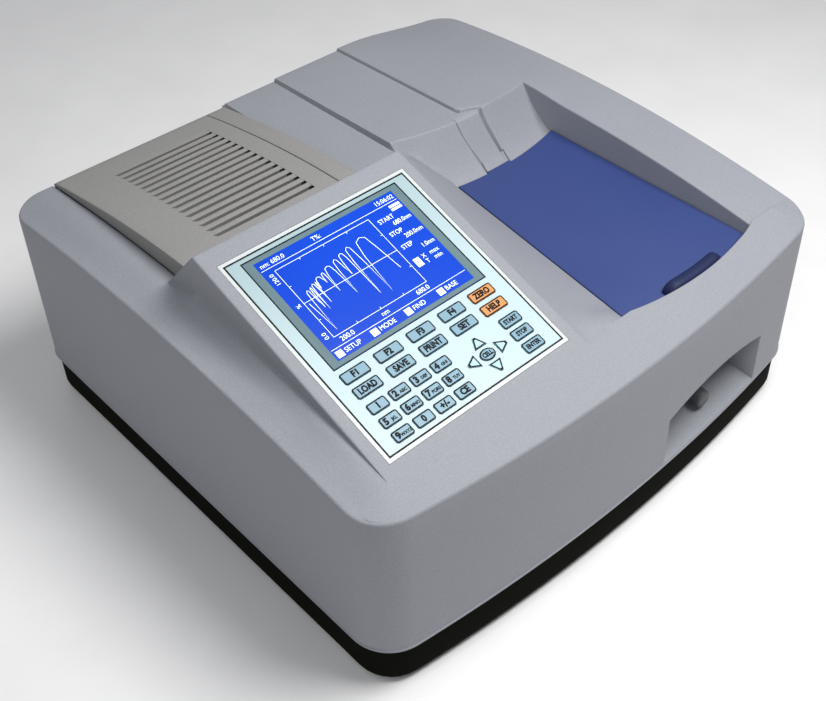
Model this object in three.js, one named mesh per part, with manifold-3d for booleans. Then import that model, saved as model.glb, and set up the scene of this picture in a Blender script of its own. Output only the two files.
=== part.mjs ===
import * as THREE from 'three';
import { mergeVertices } from 'three/addons/utils/BufferGeometryUtils.js';
import Module from 'manifold-3d';

const wasm = await Module();
wasm.setup();

// Driving dimensions, in millimetres. X is right, Y is back, Z is up.
// The origin is on the standing surface, under the middle of the casing.
const HALF_W = 221;               // half width of the casing
const HALF_D = 211;               // half depth, with the bowed front
const FRONT_BOW = 16.7;           // how far the front bows out
const FRONT_LEAN = 6;             // how far the front leans back at its top
const FRONT_CORNER_R = 31;
const REAR_CORNER_R = 23;
const FOOT_H = 8;                 // height of the feet
const CASING_Z = 38;              // lower edge of the top casing
const WALL = 3;                   // thickness of the moulded walls
const GAP = 0.3;                  // clearance between neighbouring pieces
const CREST_Z = 180;              // side crease at its highest
const CREST_Y = 51;               // where the side crease is highest
const CREASE_BEND = 0.000379;     // how fast the side crease falls away
const PANEL_TILT = 0.3365;        // slope of the display housing
const WEDGE_LEFT = -190;
const WEDGE_RIGHT = -16;
const WEDGE_BACK_Y = 12.5;        // top edge of the display housing
const WEDGE_FOOT_Y = 52;          // where its back face meets the deck
const DECK_FRONT_Y = -168;        // where the display housing fades into the front deck
const FRONT_EDGE_Z = 154;         // height of the front deck's front edge
const LCD_X = -102.7;             // centre of the display
const LCD_Y = -51.8;
const LCD_Z = 204.8;
const LID_Z = 153.5;              // top of the closed sample lid
const LID_T = 3;
const WELL_Z = 150;               // ledge round the sample compartment
const RAMP_Z = 150.5;             // where the ramp behind the lid starts
const WELL_RIGHT = 171;
const STEP_ONE_X = 25;            // the rear deck rises in two steps towards the right
const STEP_TWO_X = 94;
const COVER_LEFT = -182;
const COVER_SEAM = -45;
const COVER_RIGHT = -28;
const BEAM_Y = -56;               // light beam across the sample compartment
const BEAM_Z = 70;
const ROD_X = 100;
const ROD_Z = 55;
const CELL_PITCH = 20;
const CELL_COUNT = 4;

// Materials
const finish = (color, roughness, metalness = 0) =>
  new THREE.MeshStandardMaterial({ color, roughness, metalness });
const casingPlastic = finish(0xaeb2bd, 0.6);
const coverPlastic = finish(0x9b9a96, 0.65);
const panBlack = finish(0x14160f, 0.6);
const lidBlue = finish(0x425694, 0.45);
const handleNavy = finish(0x26305a, 0.4);
const panelWhite = finish(0xdfe9ec, 0.4);
const displayBlue = finish(0x1e46e6, 0.2);
const keyBlue = finish(0x96becd, 0.45);
const keyOrange = finish(0xf5a54b, 0.45);
const rubberBlack = finish(0x101010, 0.9);
const steel = finish(0xb0b4b8, 0.35, 1);
const alloy = finish(0x9a9da2, 0.5, 0.9);
const blackPlastic = finish(0x202226, 0.5);
const lampGlass = finish(0xe8eef2, 0.1);
const mirrorGlass = finish(0xd8dee6, 0.05, 1);
const boardGreen = finish(0x1f6a3c, 0.5);

// Turning three.js geometry into solids and back
function solid(geometry) {
  const bare = geometry.clone();
  bare.deleteAttribute('normal');
  bare.deleteAttribute('uv');
  const merged = mergeVertices(bare, 1e-4);
  return new wasm.Manifold(new wasm.Mesh({
    numProp: 3,
    vertProperties: new Float32Array(merged.attributes.position.array),
    triVerts: new Uint32Array(merged.index.array),
  }));
}

function geometryOf(body) {
  const mesh = body.getMesh();
  const geometry = new THREE.BufferGeometry();
  geometry.setAttribute('position', new THREE.BufferAttribute(new Float32Array(mesh.vertProperties), 3));
  geometry.setIndex(new THREE.BufferAttribute(new Uint32Array(mesh.triVerts), 1));
  geometry.computeVertexNormals();
  return geometry;
}

function box(x0, y0, z0, x1, y1, z1) {
  const geometry = new THREE.BoxGeometry(x1 - x0, y1 - y0, z1 - z0);
  geometry.translate((x0 + x1) / 2, (y0 + y1) / 2, (z0 + z1) / 2);
  return solid(geometry);
}

// A cylinder between two heights along an axis, centred on (a, b) in the other two axes
function rod(axis, radius, from, to, a, b, sides = 20) {
  const geometry = new THREE.CylinderGeometry(radius, radius, to - from, sides);
  const middle = (from + to) / 2;
  if (axis === 'x') geometry.rotateZ(-Math.PI / 2).translate(middle, a, b);
  if (axis === 'y') geometry.translate(a, middle, b);
  if (axis === 'z') geometry.rotateX(Math.PI / 2).translate(a, b, middle);
  return solid(geometry);
}

// A flat outline raised between two heights
function prism(points, z0, z1) {
  const shape = new THREE.Shape(points.map(([x, y]) => new THREE.Vector2(x, y)));
  const geometry = new THREE.ExtrudeGeometry(shape, { depth: z1 - z0, bevelEnabled: false });
  geometry.translate(0, 0, z0);
  return solid(geometry);
}

// A profile in the Y-Z plane, drawn out along X
function profileGeometry(points, x0, x1) {
  const shape = new THREE.Shape(points.map(([y, z]) => new THREE.Vector2(y, z)));
  const geometry = new THREE.ExtrudeGeometry(shape, { depth: x1 - x0, bevelEnabled: false });
  geometry.rotateY(Math.PI / 2).rotateX(Math.PI / 2).translate(x0, 0, 0);
  return geometry;
}

const parts = new THREE.Group();

function place(name, body, material, parent = parts) {
  const mesh = new THREE.Mesh(geometryOf(body), material);
  mesh.name = name;
  parent.add(mesh);
}

// Heights of the moulded top. An inset above 0 gives the inside face of the shell.
const smooth = (t) => {
  const s = Math.min(1, Math.max(0, t));
  return s * s * (3 - 2 * s);
};
const mix = (a, b, t) => a + (b - a) * t;
const creaseZ = (y) => CREST_Z - CREASE_BEND * (y - CREST_Y) ** 2;
const panelZ = (y) => LCD_Z + PANEL_TILT * (y - LCD_Y);
const WEDGE_TOP_Z = panelZ(WEDGE_BACK_Y);
const WEDGE_BACK_SLOPE = (WEDGE_TOP_Z - CREST_Z) / (WEDGE_FOOT_Y - WEDGE_BACK_Y);
const backFaceZ = (y) => WEDGE_TOP_Z - WEDGE_BACK_SLOPE * (y - WEDGE_BACK_Y);
const wedgeZ = (y) => Math.min(panelZ(y), backFaceZ(y));
const frontDeckZ = (y) => mix(FRONT_EDGE_Z, panelZ(DECK_FRONT_Y), (y + 209) / (209 + DECK_FRONT_Y));
const lidLeftX = (y) => mix(33, 58, (y + 158) / 184);
const acrossWell = (x) => Math.min(WELL_RIGHT, Math.max(30, x)) - 103;
const wellFrontY = (x) => -176 + 12 * (acrossWell(x) / 68) ** 2;
const rampFootY = (x) => 22 + 9 * (acrossWell(x) / 68) ** 2;
const rampCrestY = (x) => 54.5 + 11 * (acrossWell(x) / 65) ** 2;
const coverTopZ = (y) => 199 - 20.5 * (Math.max(0, y - 38) / 170) ** 1.7;
const coverSeatZ = (y) => creaseZ(y) + 0.5;

// The rear deck, with its two steps; it settles to the level of the outer edge on both sides
function deckZ(x, y) {
  const back = (y - 50) / 158;
  const strip = mix(182.5, 179, back);
  const stepOne = mix(4, 2.3, back) * smooth((x - STEP_ONE_X) / 3.5);
  const stepTwo = 2 * smooth((x - STEP_TWO_X) / 1.5);
  const rise = strip + stepOne + stepTwo - creaseZ(y);
  const settling = x < 0 ? 60 : 112;
  return creaseZ(y) + rise * smooth((HALF_W - 6 - Math.abs(x)) / settling);
}

function topZ(x, y, inset) {
  const margin = 4.5 * smooth((HALF_W - Math.abs(x)) / 28);
  const left = WEDGE_LEFT + inset;
  const right = WEDGE_RIGHT - inset * 0.5;
  const wellFront = wellFrontY(x) - inset;
  const wellRight = WELL_RIGHT + inset;
  if (y < (x > right ? wellFront : DECK_FRONT_Y)) {
    const rise = frontDeckZ(Math.max(y, -209)) - creaseZ(y);
    const edge = smooth((HALF_W - Math.abs(x)) / 28);
    return creaseZ(y) + rise * edge - inset;
  }
  if (x >= wellRight) return mix(creaseZ(y), deckZ(x, y), smooth((y - 15) / 52)) - inset;
  if (x <= left) {
    const scoop = smooth((x - WEDGE_LEFT + 22) / 22) ** 3;
    const lift = Math.max(0, wedgeZ(y) - creaseZ(y) - 4.5) * 0.35;
    return creaseZ(y) + margin + scoop * lift - inset;
  }
  if (x <= right) {
    const seated = x > COVER_LEFT - 1 && x < COVER_RIGHT + 0.6;
    const deck = seated ? coverSeatZ(y) : deckZ(x, y);
    return Math.max(wedgeZ(y), y > WEDGE_FOOT_Y - 6 ? deck : 0) - inset;
  }
  const foot = lidLeftX(y) - inset;
  const wallTop = y < WEDGE_BACK_Y ? panelZ(y) : WEDGE_TOP_Z;
  const ruled = mix(wallTop, WELL_Z, (x - right) / (foot - right));
  const climb = (y - rampFootY(x)) / (rampCrestY(x) - rampFootY(x));
  const ramp = climb <= 0 ? WELL_Z : mix(RAMP_Z, deckZ(x, rampCrestY(x)), climb ** 1.4);
  const behind = climb >= 1 ? deckZ(x, y) : ramp;
  return Math.max(Math.min(ruled, wedgeZ(y)), behind, WELL_Z) - inset;
}

// The top as a block over a grid whose lines follow the edges of the shape
function topBlock(inset) {
  const edge = 0.15;
  const wellRight = WELL_RIGHT + inset;
  const left = WEDGE_LEFT + inset;
  const right = WEDGE_RIGHT - inset * 0.5;
  const columns = [
    -240, -HALF_W, -212, -203, -196, left - edge, left + edge,
    COVER_LEFT - 1 - edge, COVER_LEFT - 1 + edge, -105,
    COVER_RIGHT + 0.6 - edge, COVER_RIGHT + 0.6 + edge, right - edge, right + edge,
  ];
  const wall = [0.34, 0.67];
  const beyond = [0.15, 0.306, 0.32, 0.45, 0.6, 0.75, 0.88];
  const leftRows = [
    -240, -HALF_D, -198, -186, DECK_FRONT_Y - edge, DECK_FRONT_Y + edge, -130, -90, -50, -10,
    WEDGE_BACK_Y, 20, 26, 32, 39, 45.5, WEDGE_FOOT_Y, 58, 80, 110, 140, 170, 192, HALF_D, 240,
  ];
  const rightRows = (x) => {
    const foot = rampFootY(x);
    const crest = rampCrestY(x);
    const front = wellFrontY(x) - inset;
    const climb = [0, 0.02, 0.25, 0.5, 0.75, 1];
    return [
      -240, -HALF_D, -198, -190, front - edge, front + edge, -130, -90, -50, -10,
      WEDGE_BACK_Y, ...climb.map((c) => mix(foot, crest, c)), crest + 1,
      84, 110, 140, 170, 192, HALF_D, 240,
    ];
  };
  const rowY = (j, x) => {
    return mix(leftRows[j], rightRows(x)[j], smooth((x - WEDGE_RIGHT) / 12));
  };
  const columnX = (i, y) => {
    if (i < columns.length) return columns[i];
    const k = i - columns.length;
    const foot = Math.min(lidLeftX(y), 60) - inset;
    const far = smooth((y - 30) / 25);
    if (k < wall.length) return mix(mix(right, foot, wall[k]), [25, 28.5][k], far);
    if (k === wall.length) return mix(foot, 60, far);
    if (k <= wall.length + beyond.length) return mix(60, wellRight, beyond[k - wall.length - 1]);
    return [wellRight - edge, wellRight + edge, 190, 205, HALF_W, 240][k - wall.length - beyond.length - 1];
  };
  const nx = columns.length + wall.length + 1 + beyond.length + 6;
  const ny = leftRows.length;
  const positions = [];
  for (const top of [true, false]) {
    for (let j = 0; j < ny; j += 1) {
      for (let i = 0; i < nx; i += 1) {
        let x = columnX(i, leftRows[j]);
        let y = rowY(j, x);
        for (let pass = 0; pass < 4; pass += 1) {
          x = columnX(i, y);
          y = rowY(j, x);
        }
        const z = top ? topZ(x, Math.max(-HALF_D, Math.min(HALF_D, y)), inset) : CASING_Z - 20;
        positions.push(x, y, z);
      }
    }
  }
  return solid(gridGeometry(positions, nx, ny));
}

// A closed block from two stacked grids of points, the upper one first
function gridGeometry(positions, nx, ny) {
  const index = [];
  const at = (layer, i, j) => layer * nx * ny + j * nx + i;
  const quad = (a, b, c, d) => index.push(a, b, c, a, c, d);
  for (let j = 0; j < ny - 1; j += 1) {
    for (let i = 0; i < nx - 1; i += 1) {
      quad(at(0, i, j), at(0, i + 1, j), at(0, i + 1, j + 1), at(0, i, j + 1));
      quad(at(1, i, j), at(1, i, j + 1), at(1, i + 1, j + 1), at(1, i + 1, j));
    }
  }
  for (let i = 0; i < nx - 1; i += 1) {
    quad(at(1, i, 0), at(1, i + 1, 0), at(0, i + 1, 0), at(0, i, 0));
    quad(at(0, i, ny - 1), at(0, i + 1, ny - 1), at(1, i + 1, ny - 1), at(1, i, ny - 1));
  }
  for (let j = 0; j < ny - 1; j += 1) {
    quad(at(0, 0, j), at(0, 0, j + 1), at(1, 0, j + 1), at(1, 0, j));
    quad(at(1, nx - 1, j), at(1, nx - 1, j + 1), at(0, nx - 1, j + 1), at(0, nx - 1, j));
  }
  const geometry = new THREE.BufferGeometry();
  geometry.setAttribute('position', new THREE.Float32BufferAttribute(positions, 3));
  geometry.setIndex(index);
  return geometry;
}

// Plan outline of the casing, inset all round, anticlockwise from the front middle
function outline(inset) {
  const points = [];
  const arc = (cx, cy, radius, from, to, steps) => {
    for (let k = 0; k <= steps; k += 1) {
      const angle = THREE.MathUtils.degToRad(mix(from, to, k / steps));
      points.push([cx + (radius - inset) * Math.cos(angle), cy + (radius - inset) * Math.sin(angle)]);
    }
  };
  const cornerX = HALF_W - FRONT_CORNER_R;
  const slope = Math.atan(2 * FRONT_BOW * cornerX / HALF_W ** 2);
  const bow = (x) => -HALF_D + FRONT_BOW * (x / HALF_W) ** 2;
  const tangentX = cornerX + FRONT_CORNER_R * Math.sin(slope);
  const cornerY = bow(tangentX) + FRONT_CORNER_R * Math.cos(slope);
  const lean = THREE.MathUtils.radToDeg(slope);
  const rear = HALF_D - REAR_CORNER_R;
  for (let k = -4; k < 5; k += 1) points.push([k / 5 * tangentX, bow(k / 5 * tangentX) + inset]);
  arc(cornerX, cornerY, FRONT_CORNER_R, -90 + lean, 0, 6);
  arc(HALF_W - REAR_CORNER_R, rear, REAR_CORNER_R, 0, 90, 5);
  arc(REAR_CORNER_R - HALF_W, rear, REAR_CORNER_R, 90, 180, 5);
  arc(-cornerX, cornerY, FRONT_CORNER_R, 180, 270 - lean, 6);
  return points;
}

// The outline raised to a block, with the front leaning back as it rises
function casingBlock(inset, z0, z1) {
  const shape = new THREE.Shape(outline(inset).map(([x, y]) => new THREE.Vector2(x, y)));
  const geometry = new THREE.ExtrudeGeometry(shape, { depth: z1 - z0, bevelEnabled: false });
  geometry.translate(0, 0, z0);
  const position = geometry.attributes.position;
  for (let k = 0; k < position.count; k += 1) {
    const rise = (position.getZ(k) - CASING_Z) / (FRONT_EDGE_Z - CASING_Z);
    const share = Math.max(0, -position.getY(k) / HALF_D);
    position.setY(k, position.getY(k) + FRONT_LEAN * rise * share);
  }
  return solid(geometry);
}

// Front recess for the pull rod: a pocket with an arched top
const RECESS = { x0: 39, x1: 159, z0: 42, side: 84, crown: 95, y: -172 };
function recess(grow) {
  const points = [[RECESS.x0 - grow, RECESS.z0 - grow], [RECESS.x1 + grow, RECESS.z0 - grow]];
  for (let k = 0; k <= 8; k += 1) {
    const s = k / 8;
    const x = mix(RECESS.x1 + grow, RECESS.x0 - grow, s);
    points.push([x, mix(RECESS.side, RECESS.crown, 1 - (2 * s - 1) ** 2) + grow]);
  }
  const shape = new THREE.Shape(points.map(([x, z]) => new THREE.Vector2(x, z)));
  const depth = 60 + grow;
  const geometry = new THREE.ExtrudeGeometry(shape, { depth, bevelEnabled: false });
  geometry.rotateX(Math.PI / 2).translate(0, RECESS.y + grow, 0);
  return solid(geometry);
}

// Display housing coordinates: u right, v up the slope, n out of the face
const SLOPE = Math.atan(PANEL_TILT);
const panelFrame = new THREE.Matrix4().makeRotationX(SLOPE).setPosition(LCD_X, LCD_Y, LCD_Z);
const onPanel = (body) => body.transform(panelFrame.elements);
const PANEL = { u: 78.4, v0: -114, v1: 53.4, sink: 1.8, thick: 1.5 };
const WINDOW = { u: 65, v: 46.3 };
const KEY_OPENING = { u: 74, v0: -110, v1: 50 };

// Rear wall equipment
const FAN = { x: -120, z: 100, size: 80, y0: 182, y1: 207 };
const INLET = { x: 150, z: 86, w: 30, h: 60, y0: 172 };
const HINGE = { y: 33, z: 150, pin: 1.5, bore: 1.8, knuckle: 5.2, arms: [89, 113], thick: 2.6, slot: 0.6 };
const COMPARTMENT = { x0: 64, x1: 163, y0: -148, y1: 18 };
const LAMP_OPENING = { x0: -168, x1: -62, y0: 72, y1: 190 };

function topCasing() {
  let body = casingBlock(0, CASING_Z, 245).intersect(topBlock(0));
  const hollow = casingBlock(WALL, CASING_Z - 5, 245).intersect(topBlock(WALL)).subtract(recess(WALL));
  body = body.subtract(hollow).subtract(recess(0));
  const { x0, x1, y0, y1 } = COMPARTMENT;
  body = body.subtract(box(x0, y0, 130, x1, y1, 160));
  HINGE.arms.forEach((x) => {
    const slotEnd = x + HINGE.thick + HINGE.slot;
    body = body.subtract(box(x - HINGE.slot, y1 - 12, 130, slotEnd, HINGE.y + 1.5, 165));
  });
  const seat = box(-PANEL.u - GAP, PANEL.v0 - GAP, -PANEL.sink, PANEL.u + GAP, PANEL.v1 + GAP, 5);
  body = body.subtract(onPanel(seat));
  const { u, v0, v1 } = KEY_OPENING;
  body = body.subtract(onPanel(box(-u, v0, -8, u, v1, 5)));
  body = body.subtract(box(LAMP_OPENING.x0, LAMP_OPENING.y0, 150, LAMP_OPENING.x1, LAMP_OPENING.y1, 200));
  for (let k = -3; k <= 3; k += 1) {
    const z = FAN.z + k * 9;
    body = body.subtract(box(FAN.x - 32, 200, z - 2.5, FAN.x + 32, 215, z + 2.5));
  }
  const halfW = INLET.w / 2 + GAP;
  const halfH = INLET.h / 2 + GAP;
  body = body.subtract(box(INLET.x - halfW, 200, INLET.z - halfH, INLET.x + halfW, 215, INLET.z + halfH));
  body = body.subtract(rod('y', 5, -180, -160, ROD_X, ROD_Z));
  return body;
}
place('top_casing', topCasing(), casingPlastic);

// Base pan: a black tray, with the casing standing round its rim
function basePan() {
  const tray = casingBlock(2, FOOT_H, CASING_Z - GAP);
  let body = tray.subtract(casingBlock(5, FOOT_H + 3, CASING_Z + 5));
  for (let k = 0; k < 6; k += 1) {
    const x = -190 + k * 14;
    body = body.subtract(box(x, -20, 0, x + 5, 40, 20));
  }
  return body;
}
place('base_pan', basePan(), panBlack);

[[-185, -150], [185, -150], [-185, 180], [185, 180]].forEach(([x, y], k) => {
  place(`foot_${k + 1}`, rod('z', 10, 0, FOOT_H - GAP, x, y), rubberBlack);
});

// Lamp cover: an arched shell over the lamps, with louvres, cut off where it meets the display housing
const COVER_BACK = 208.5;
function coverShape(x0, x1, inset, rear) {
  const points = [];
  const steps = 10;
  for (let k = 0; k <= steps; k += 1) {
    const y = mix(30, rear, k / steps);
    points.push([y, coverTopZ(y) - inset]);
  }
  for (let k = steps; k >= 0; k -= 1) {
    const y = mix(30, rear, k / steps);
    points.push([y, coverSeatZ(y) + (inset > 0 ? -20 : GAP)]);
  }
  return solid(profileGeometry(points, x0, x1));
}
function behindWedge(x0, x1) {
  const y0 = WEDGE_BACK_Y + GAP * 1.6;
  const down = [y0 + 60, WEDGE_TOP_Z - 60 * WEDGE_BACK_SLOPE];
  const points = [[y0, WEDGE_TOP_Z], down, [400, 100], [400, 300], [y0, 300]];
  return solid(profileGeometry(points, x0, x1));
}
const LOUVRE = { count: 16, x0: -148, x1: -62, y0: 49, y1: 173, width: 3.2 };
function lampCover() {
  const x1 = COVER_SEAM - GAP;
  let body = coverShape(COVER_LEFT, x1, 0, COVER_BACK).intersect(behindWedge(-300, 0));
  const inside = coverShape(COVER_LEFT + 2.5, x1 - 2.5, 2.5, COVER_BACK - 2.5);
  body = body.subtract(inside.subtract(box(-300, -10, 0, 0, 50, 300)));
  const pitch = (LOUVRE.y1 - LOUVRE.y0) / (LOUVRE.count - 1);
  for (let k = 0; k < LOUVRE.count; k += 1) {
    const y = LOUVRE.y0 + pitch * k + 3;
    body = body.subtract(box(LOUVRE.x0 + 40, y, 150, LOUVRE.x1, y + LOUVRE.width, 210));
  }
  return body;
}
place('lamp_cover', lampCover(), coverPlastic);
place(
  'lamp_cover_trim',
  coverShape(COVER_SEAM + GAP, COVER_RIGHT, 0, COVER_BACK).intersect(behindWedge(-300, 0)),
  coverPlastic,
);

// Keypad panel, display and keys, all laid out on the sloping face
const KEY_ROWS = { function: -55, edit: -67, digit1: -80.2, digit2: -91.7, digit3: -103.1 };
const KEY_COLUMNS = [-55.4, -28.1, -0.8, 26.5];
const DIGIT_COLUMNS = [-58.4, -41, -23.6, -6.3];
const SIDE_COLUMN = 54.5;
const PAD = { u: 24.4, v: -91.7, reachU: 12, reachV: 10.2 };
const keys = [];
const addKey = (name, u, v, w, h, color = keyBlue) => keys.push({ name, u, v, w, h, color });
['f1', 'f2', 'f3', 'f4'].forEach((name, k) => addKey(name, KEY_COLUMNS[k], KEY_ROWS.function, 20.3, 8.3));
['load', 'save', 'print', 'set_wavelength'].forEach((name, k) => {
  addKey(name, KEY_COLUMNS[k], KEY_ROWS.edit, 20.3, 8.3);
});
addKey('zero', SIDE_COLUMN - 1, KEY_ROWS.function, 20.3, 8.3, keyOrange);
addKey('help', SIDE_COLUMN - 1, KEY_ROWS.edit, 20.3, 8.3, keyOrange);
['start', 'stop', 'enter'].forEach((name, k) => addKey(name, SIDE_COLUMN + 1, -81 - 11 * k, 16.5, 8));
['1', '2', '3', '4'].forEach((name, k) => addKey(name, DIGIT_COLUMNS[k], KEY_ROWS.digit1, 14.3, 7.8));
['5', '6', '7', '8'].forEach((name, k) => addKey(name, DIGIT_COLUMNS[k], KEY_ROWS.digit2, 14.3, 7.8));
['9', '0', 'sign', 'ce'].forEach((name, k) => addKey(name, DIGIT_COLUMNS[k], KEY_ROWS.digit3, 14.3, 7.8));
addKey('cell', PAD.u, PAD.v, 12, 8.4);
addKey('up', PAD.u, PAD.v + PAD.reachV, 10, 7.5);
addKey('down', PAD.u, PAD.v - PAD.reachV, 10, 7.5);
addKey('left', PAD.u - PAD.reachU - 1, PAD.v, 8, 9.5);
addKey('right', PAD.u + PAD.reachU + 1, PAD.v, 8, 9.5);

function keyOutline(key, grow) {
  const { u, v } = key;
  const w = key.w / 2 + grow;
  const h = key.h / 2 + grow;
  const turn = { up: 0, left: 90, down: 180, right: 270 }[key.name];
  if (turn !== undefined) {
    const long = turn % 180 === 0 ? w : h;
    const tall = turn % 180 === 0 ? h : w;
    const angle = THREE.MathUtils.degToRad(turn);
    return [[-long, -tall], [long, -tall], [1, tall], [-1, tall]].map(([a, b]) => [
      u + a * Math.cos(angle) - b * Math.sin(angle),
      v + a * Math.sin(angle) + b * Math.cos(angle),
    ]);
  }
  if (key.name === 'cell') {
    return Array.from({ length: 16 }, (_, k) => {
      const angle = k / 16 * 2 * Math.PI;
      return [u + w * Math.cos(angle), v + h * Math.sin(angle)];
    });
  }
  const c = 1.4;
  return [
    [u - w + c, v - h], [u + w - c, v - h], [u + w, v - h + c], [u + w, v + h - c],
    [u + w - c, v + h], [u - w + c, v + h], [u - w, v + h - c], [u - w, v - h + c],
  ];
}

const KEY = { low: -2.6, high: 0.6, clearance: 0.3 };
const PANEL_TOP = PANEL.thick - PANEL.sink + GAP;
function keypadPanel() {
  let body = box(-PANEL.u, PANEL.v0, -PANEL.sink + GAP, PANEL.u, PANEL.v1, PANEL_TOP);
  body = body.subtract(box(-WINDOW.u, -WINDOW.v, -5, WINDOW.u, WINDOW.v, 5));
  keys.forEach((key) => {
    body = body.subtract(prism(keyOutline(key, KEY.clearance), -5, 5));
  });
  return body;
}

const sloped = new THREE.Group();
sloped.rotation.x = SLOPE;
sloped.position.set(LCD_X, LCD_Y, LCD_Z);
parts.add(sloped);
place('keypad_panel', keypadPanel(), panelWhite, sloped);
const GLASS = { u: WINDOW.u - GAP, v: WINDOW.v - GAP, low: -9, high: -0.4 };
place('display', box(-GLASS.u, -GLASS.v, GLASS.low, GLASS.u, GLASS.v, GLASS.high), displayBlue, sloped);
keys.forEach((key) => {
  place(`key_${key.name}`, prism(keyOutline(key, 0), KEY.low, KEY.high), key.color, sloped);
});

// Sample lid, its handle and its hinge
function lidOutline(inset) {
  const points = [];
  const rearY = (x) => rampFootY(x) - inset;
  const frontY = (x) => wellFrontY(x) + inset + 0.9;
  const steps = 10;
  for (let k = 0; k <= steps; k += 1) {
    const x = mix(lidLeftX(-164) + inset, WELL_RIGHT - inset, k / steps);
    points.push([x, frontY(x)]);
  }
  for (let k = 0; k <= steps; k += 1) {
    const x = mix(WELL_RIGHT - inset, lidLeftX(26) + inset, k / steps);
    points.push([x, rearY(x)]);
  }
  return points;
}
function sampleLid() {
  let body = prism(lidOutline(0.9), LID_Z - LID_T, LID_Z);
  const { x0, x1, y0 } = COMPARTMENT;
  body = body.add(box(x0 + 4, y0 + 4, LID_Z - LID_T - 9, x0 + 7, -6, LID_Z - LID_T + 1));
  body = body.add(box(x1 - 7, y0 + 4, LID_Z - LID_T - 9, x1 - 4, -6, LID_Z - LID_T + 1));
  body = body.add(box(x0 + 4, y0 + 4, LID_Z - LID_T - 9, x1 - 4, y0 + 7, LID_Z - LID_T + 1));
  HINGE.arms.forEach((x) => {
    const end = x + HINGE.thick;
    body = body.add(box(x, 8, HINGE.z - 3.6, end, HINGE.y, LID_Z - LID_T + 1));
    body = body.add(rod('x', HINGE.knuckle, x, end, HINGE.y, HINGE.z, 16));
  });
  return body.subtract(rod('x', HINGE.bore, 60, 170, HINGE.y, HINGE.z, 16));
}
place('sample_lid', sampleLid(), lidBlue);
const HANDLE = { x0: 72, x1: 131, y0: -172.5, y1: -160.5, height: 9 };
place(
  'lid_handle',
  box(HANDLE.x0, HANDLE.y0, LID_Z + GAP, HANDLE.x1, HANDLE.y1, LID_Z + HANDLE.height),
  handleNavy,
);
place('lid_hinge_pin', rod('x', HINGE.pin, 86, 119, HINGE.y, HINGE.z, 16), steel);

// Sample tub with light ports, guide ribs and the hinge ears
const TUB = { wall: 3, z0: 42, z1: WELL_Z - WALL - GAP };
function sampleTub() {
  const { x0, x1, y0, y1 } = COMPARTMENT;
  const w = TUB.wall;
  const rear = y1 + w;
  let body = box(x0 - w, y0 - w, TUB.z0, x1 + w, rear, TUB.z1 - GAP);
  body = body.subtract(box(x0, y0, TUB.z0 + w, x1, rear - w, 200));
  body = body.subtract(rod('x', 7, x0 - 10, x1 + 10, BEAM_Y, BEAM_Z));
  body = body.subtract(rod('y', 4.3, y0 - 10, y0 + 10, ROD_X, ROD_Z));
  [-1, 1].forEach((side) => {
    const x = ROD_X + side * 20.5;
    body = body.add(box(x - 1.5, y0 + 2, TUB.z0 + 1, x + 1.5, rear - w - 1, TUB.z0 + w + 3));
  });
  [94, 107].forEach((x) => {
    body = body.add(box(x, rear - 1, HINGE.z - 16, x + 4, HINGE.y + 3, HINGE.z - 7));
    body = body.add(box(x, HINGE.y - 3, HINGE.z - 8, x + 4, HINGE.y + 3, HINGE.z));
    body = body.add(rod('x', 3, x, x + 4, HINGE.y, HINGE.z, 16));
  });
  return body.subtract(rod('x', HINGE.bore, 60, 170, HINGE.y, HINGE.z, 16));
}
place('sample_tub', sampleTub(), blackPlastic);

// Cell carrier on its pull rod, pushed in at rest with the first cell in the beam
const CELL = { socket: 12.6, floor: 54, top: 96, width: 36 };
const CARRIER_Y = BEAM_Y + CELL_PITCH * (CELL_COUNT - 1) / 2;
const CARRIER_HALF = CELL_PITCH * CELL_COUNT / 2 + 1;
function cellCarrier() {
  const half = CELL.width / 2;
  const y0 = CARRIER_Y - CARRIER_HALF;
  const y1 = CARRIER_Y + CARRIER_HALF;
  let body = box(ROD_X - half, y0, 45.5, ROD_X + half, y1, CELL.top);
  for (let k = 0; k < CELL_COUNT; k += 1) {
    const y = BEAM_Y + CELL_PITCH * k;
    const s = CELL.socket / 2;
    body = body.subtract(box(ROD_X - s, y - s, CELL.floor, ROD_X + s, y + s, 120));
    body = body.subtract(box(ROD_X - 30, y - 2.5, BEAM_Z - 10, ROD_X + 30, y + 2.5, BEAM_Z + 10));
  }
  return body;
}
place('cell_carrier', cellCarrier(), alloy);
function pullRod() {
  const end = CARRIER_Y - CARRIER_HALF - GAP;
  const knob = rod('y', 7, -198, -180, ROD_X, ROD_Z, 24);
  return rod('y', 3.5, -185, end, ROD_X, ROD_Z, 16).add(knob);
}
place('pull_rod', pullRod(), blackPlastic);

// Optics on their bench
const BENCH = { z0: 14, z1: 22 };
function opticalBench() {
  let body = box(-70, -125, BENCH.z0, 215, 30, BENCH.z1);
  body = body.add(box(-185, 20, BENCH.z0, 58, 172, BENCH.z1));
  [[-175, 30], [-175, 160], [45, 160], [205, -115], [-60, -115]].forEach(([x, y]) => {
    body = body.add(rod('z', 5, FOOT_H + 3 + GAP, BENCH.z0 + 1, x, y, 12));
  });
  return body;
}
place('optical_bench', opticalBench(), alloy);

const MONO = { x0: -62, x1: 50, y0: -112, y1: 46, z0: BENCH.z1 + GAP, z1: 104, wall: 3 };
function monochromatorCase() {
  const { x0, x1, y0, y1, z0, z1, wall } = MONO;
  let body = box(x0, y0, z0, x1, y1, z1);
  body = body.subtract(box(x0 + wall, y0 + wall, 0, x1 - wall, y1 - wall, z1 - wall));
  body = body.subtract(rod('x', 5, x1 - 10, x1 + 10, BEAM_Y, BEAM_Z));
  return body.subtract(rod('y', 5, y1 - 10, y1 + 10, -30, BEAM_Z));
}
place('monochromator_case', monochromatorCase(), blackPlastic);

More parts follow.
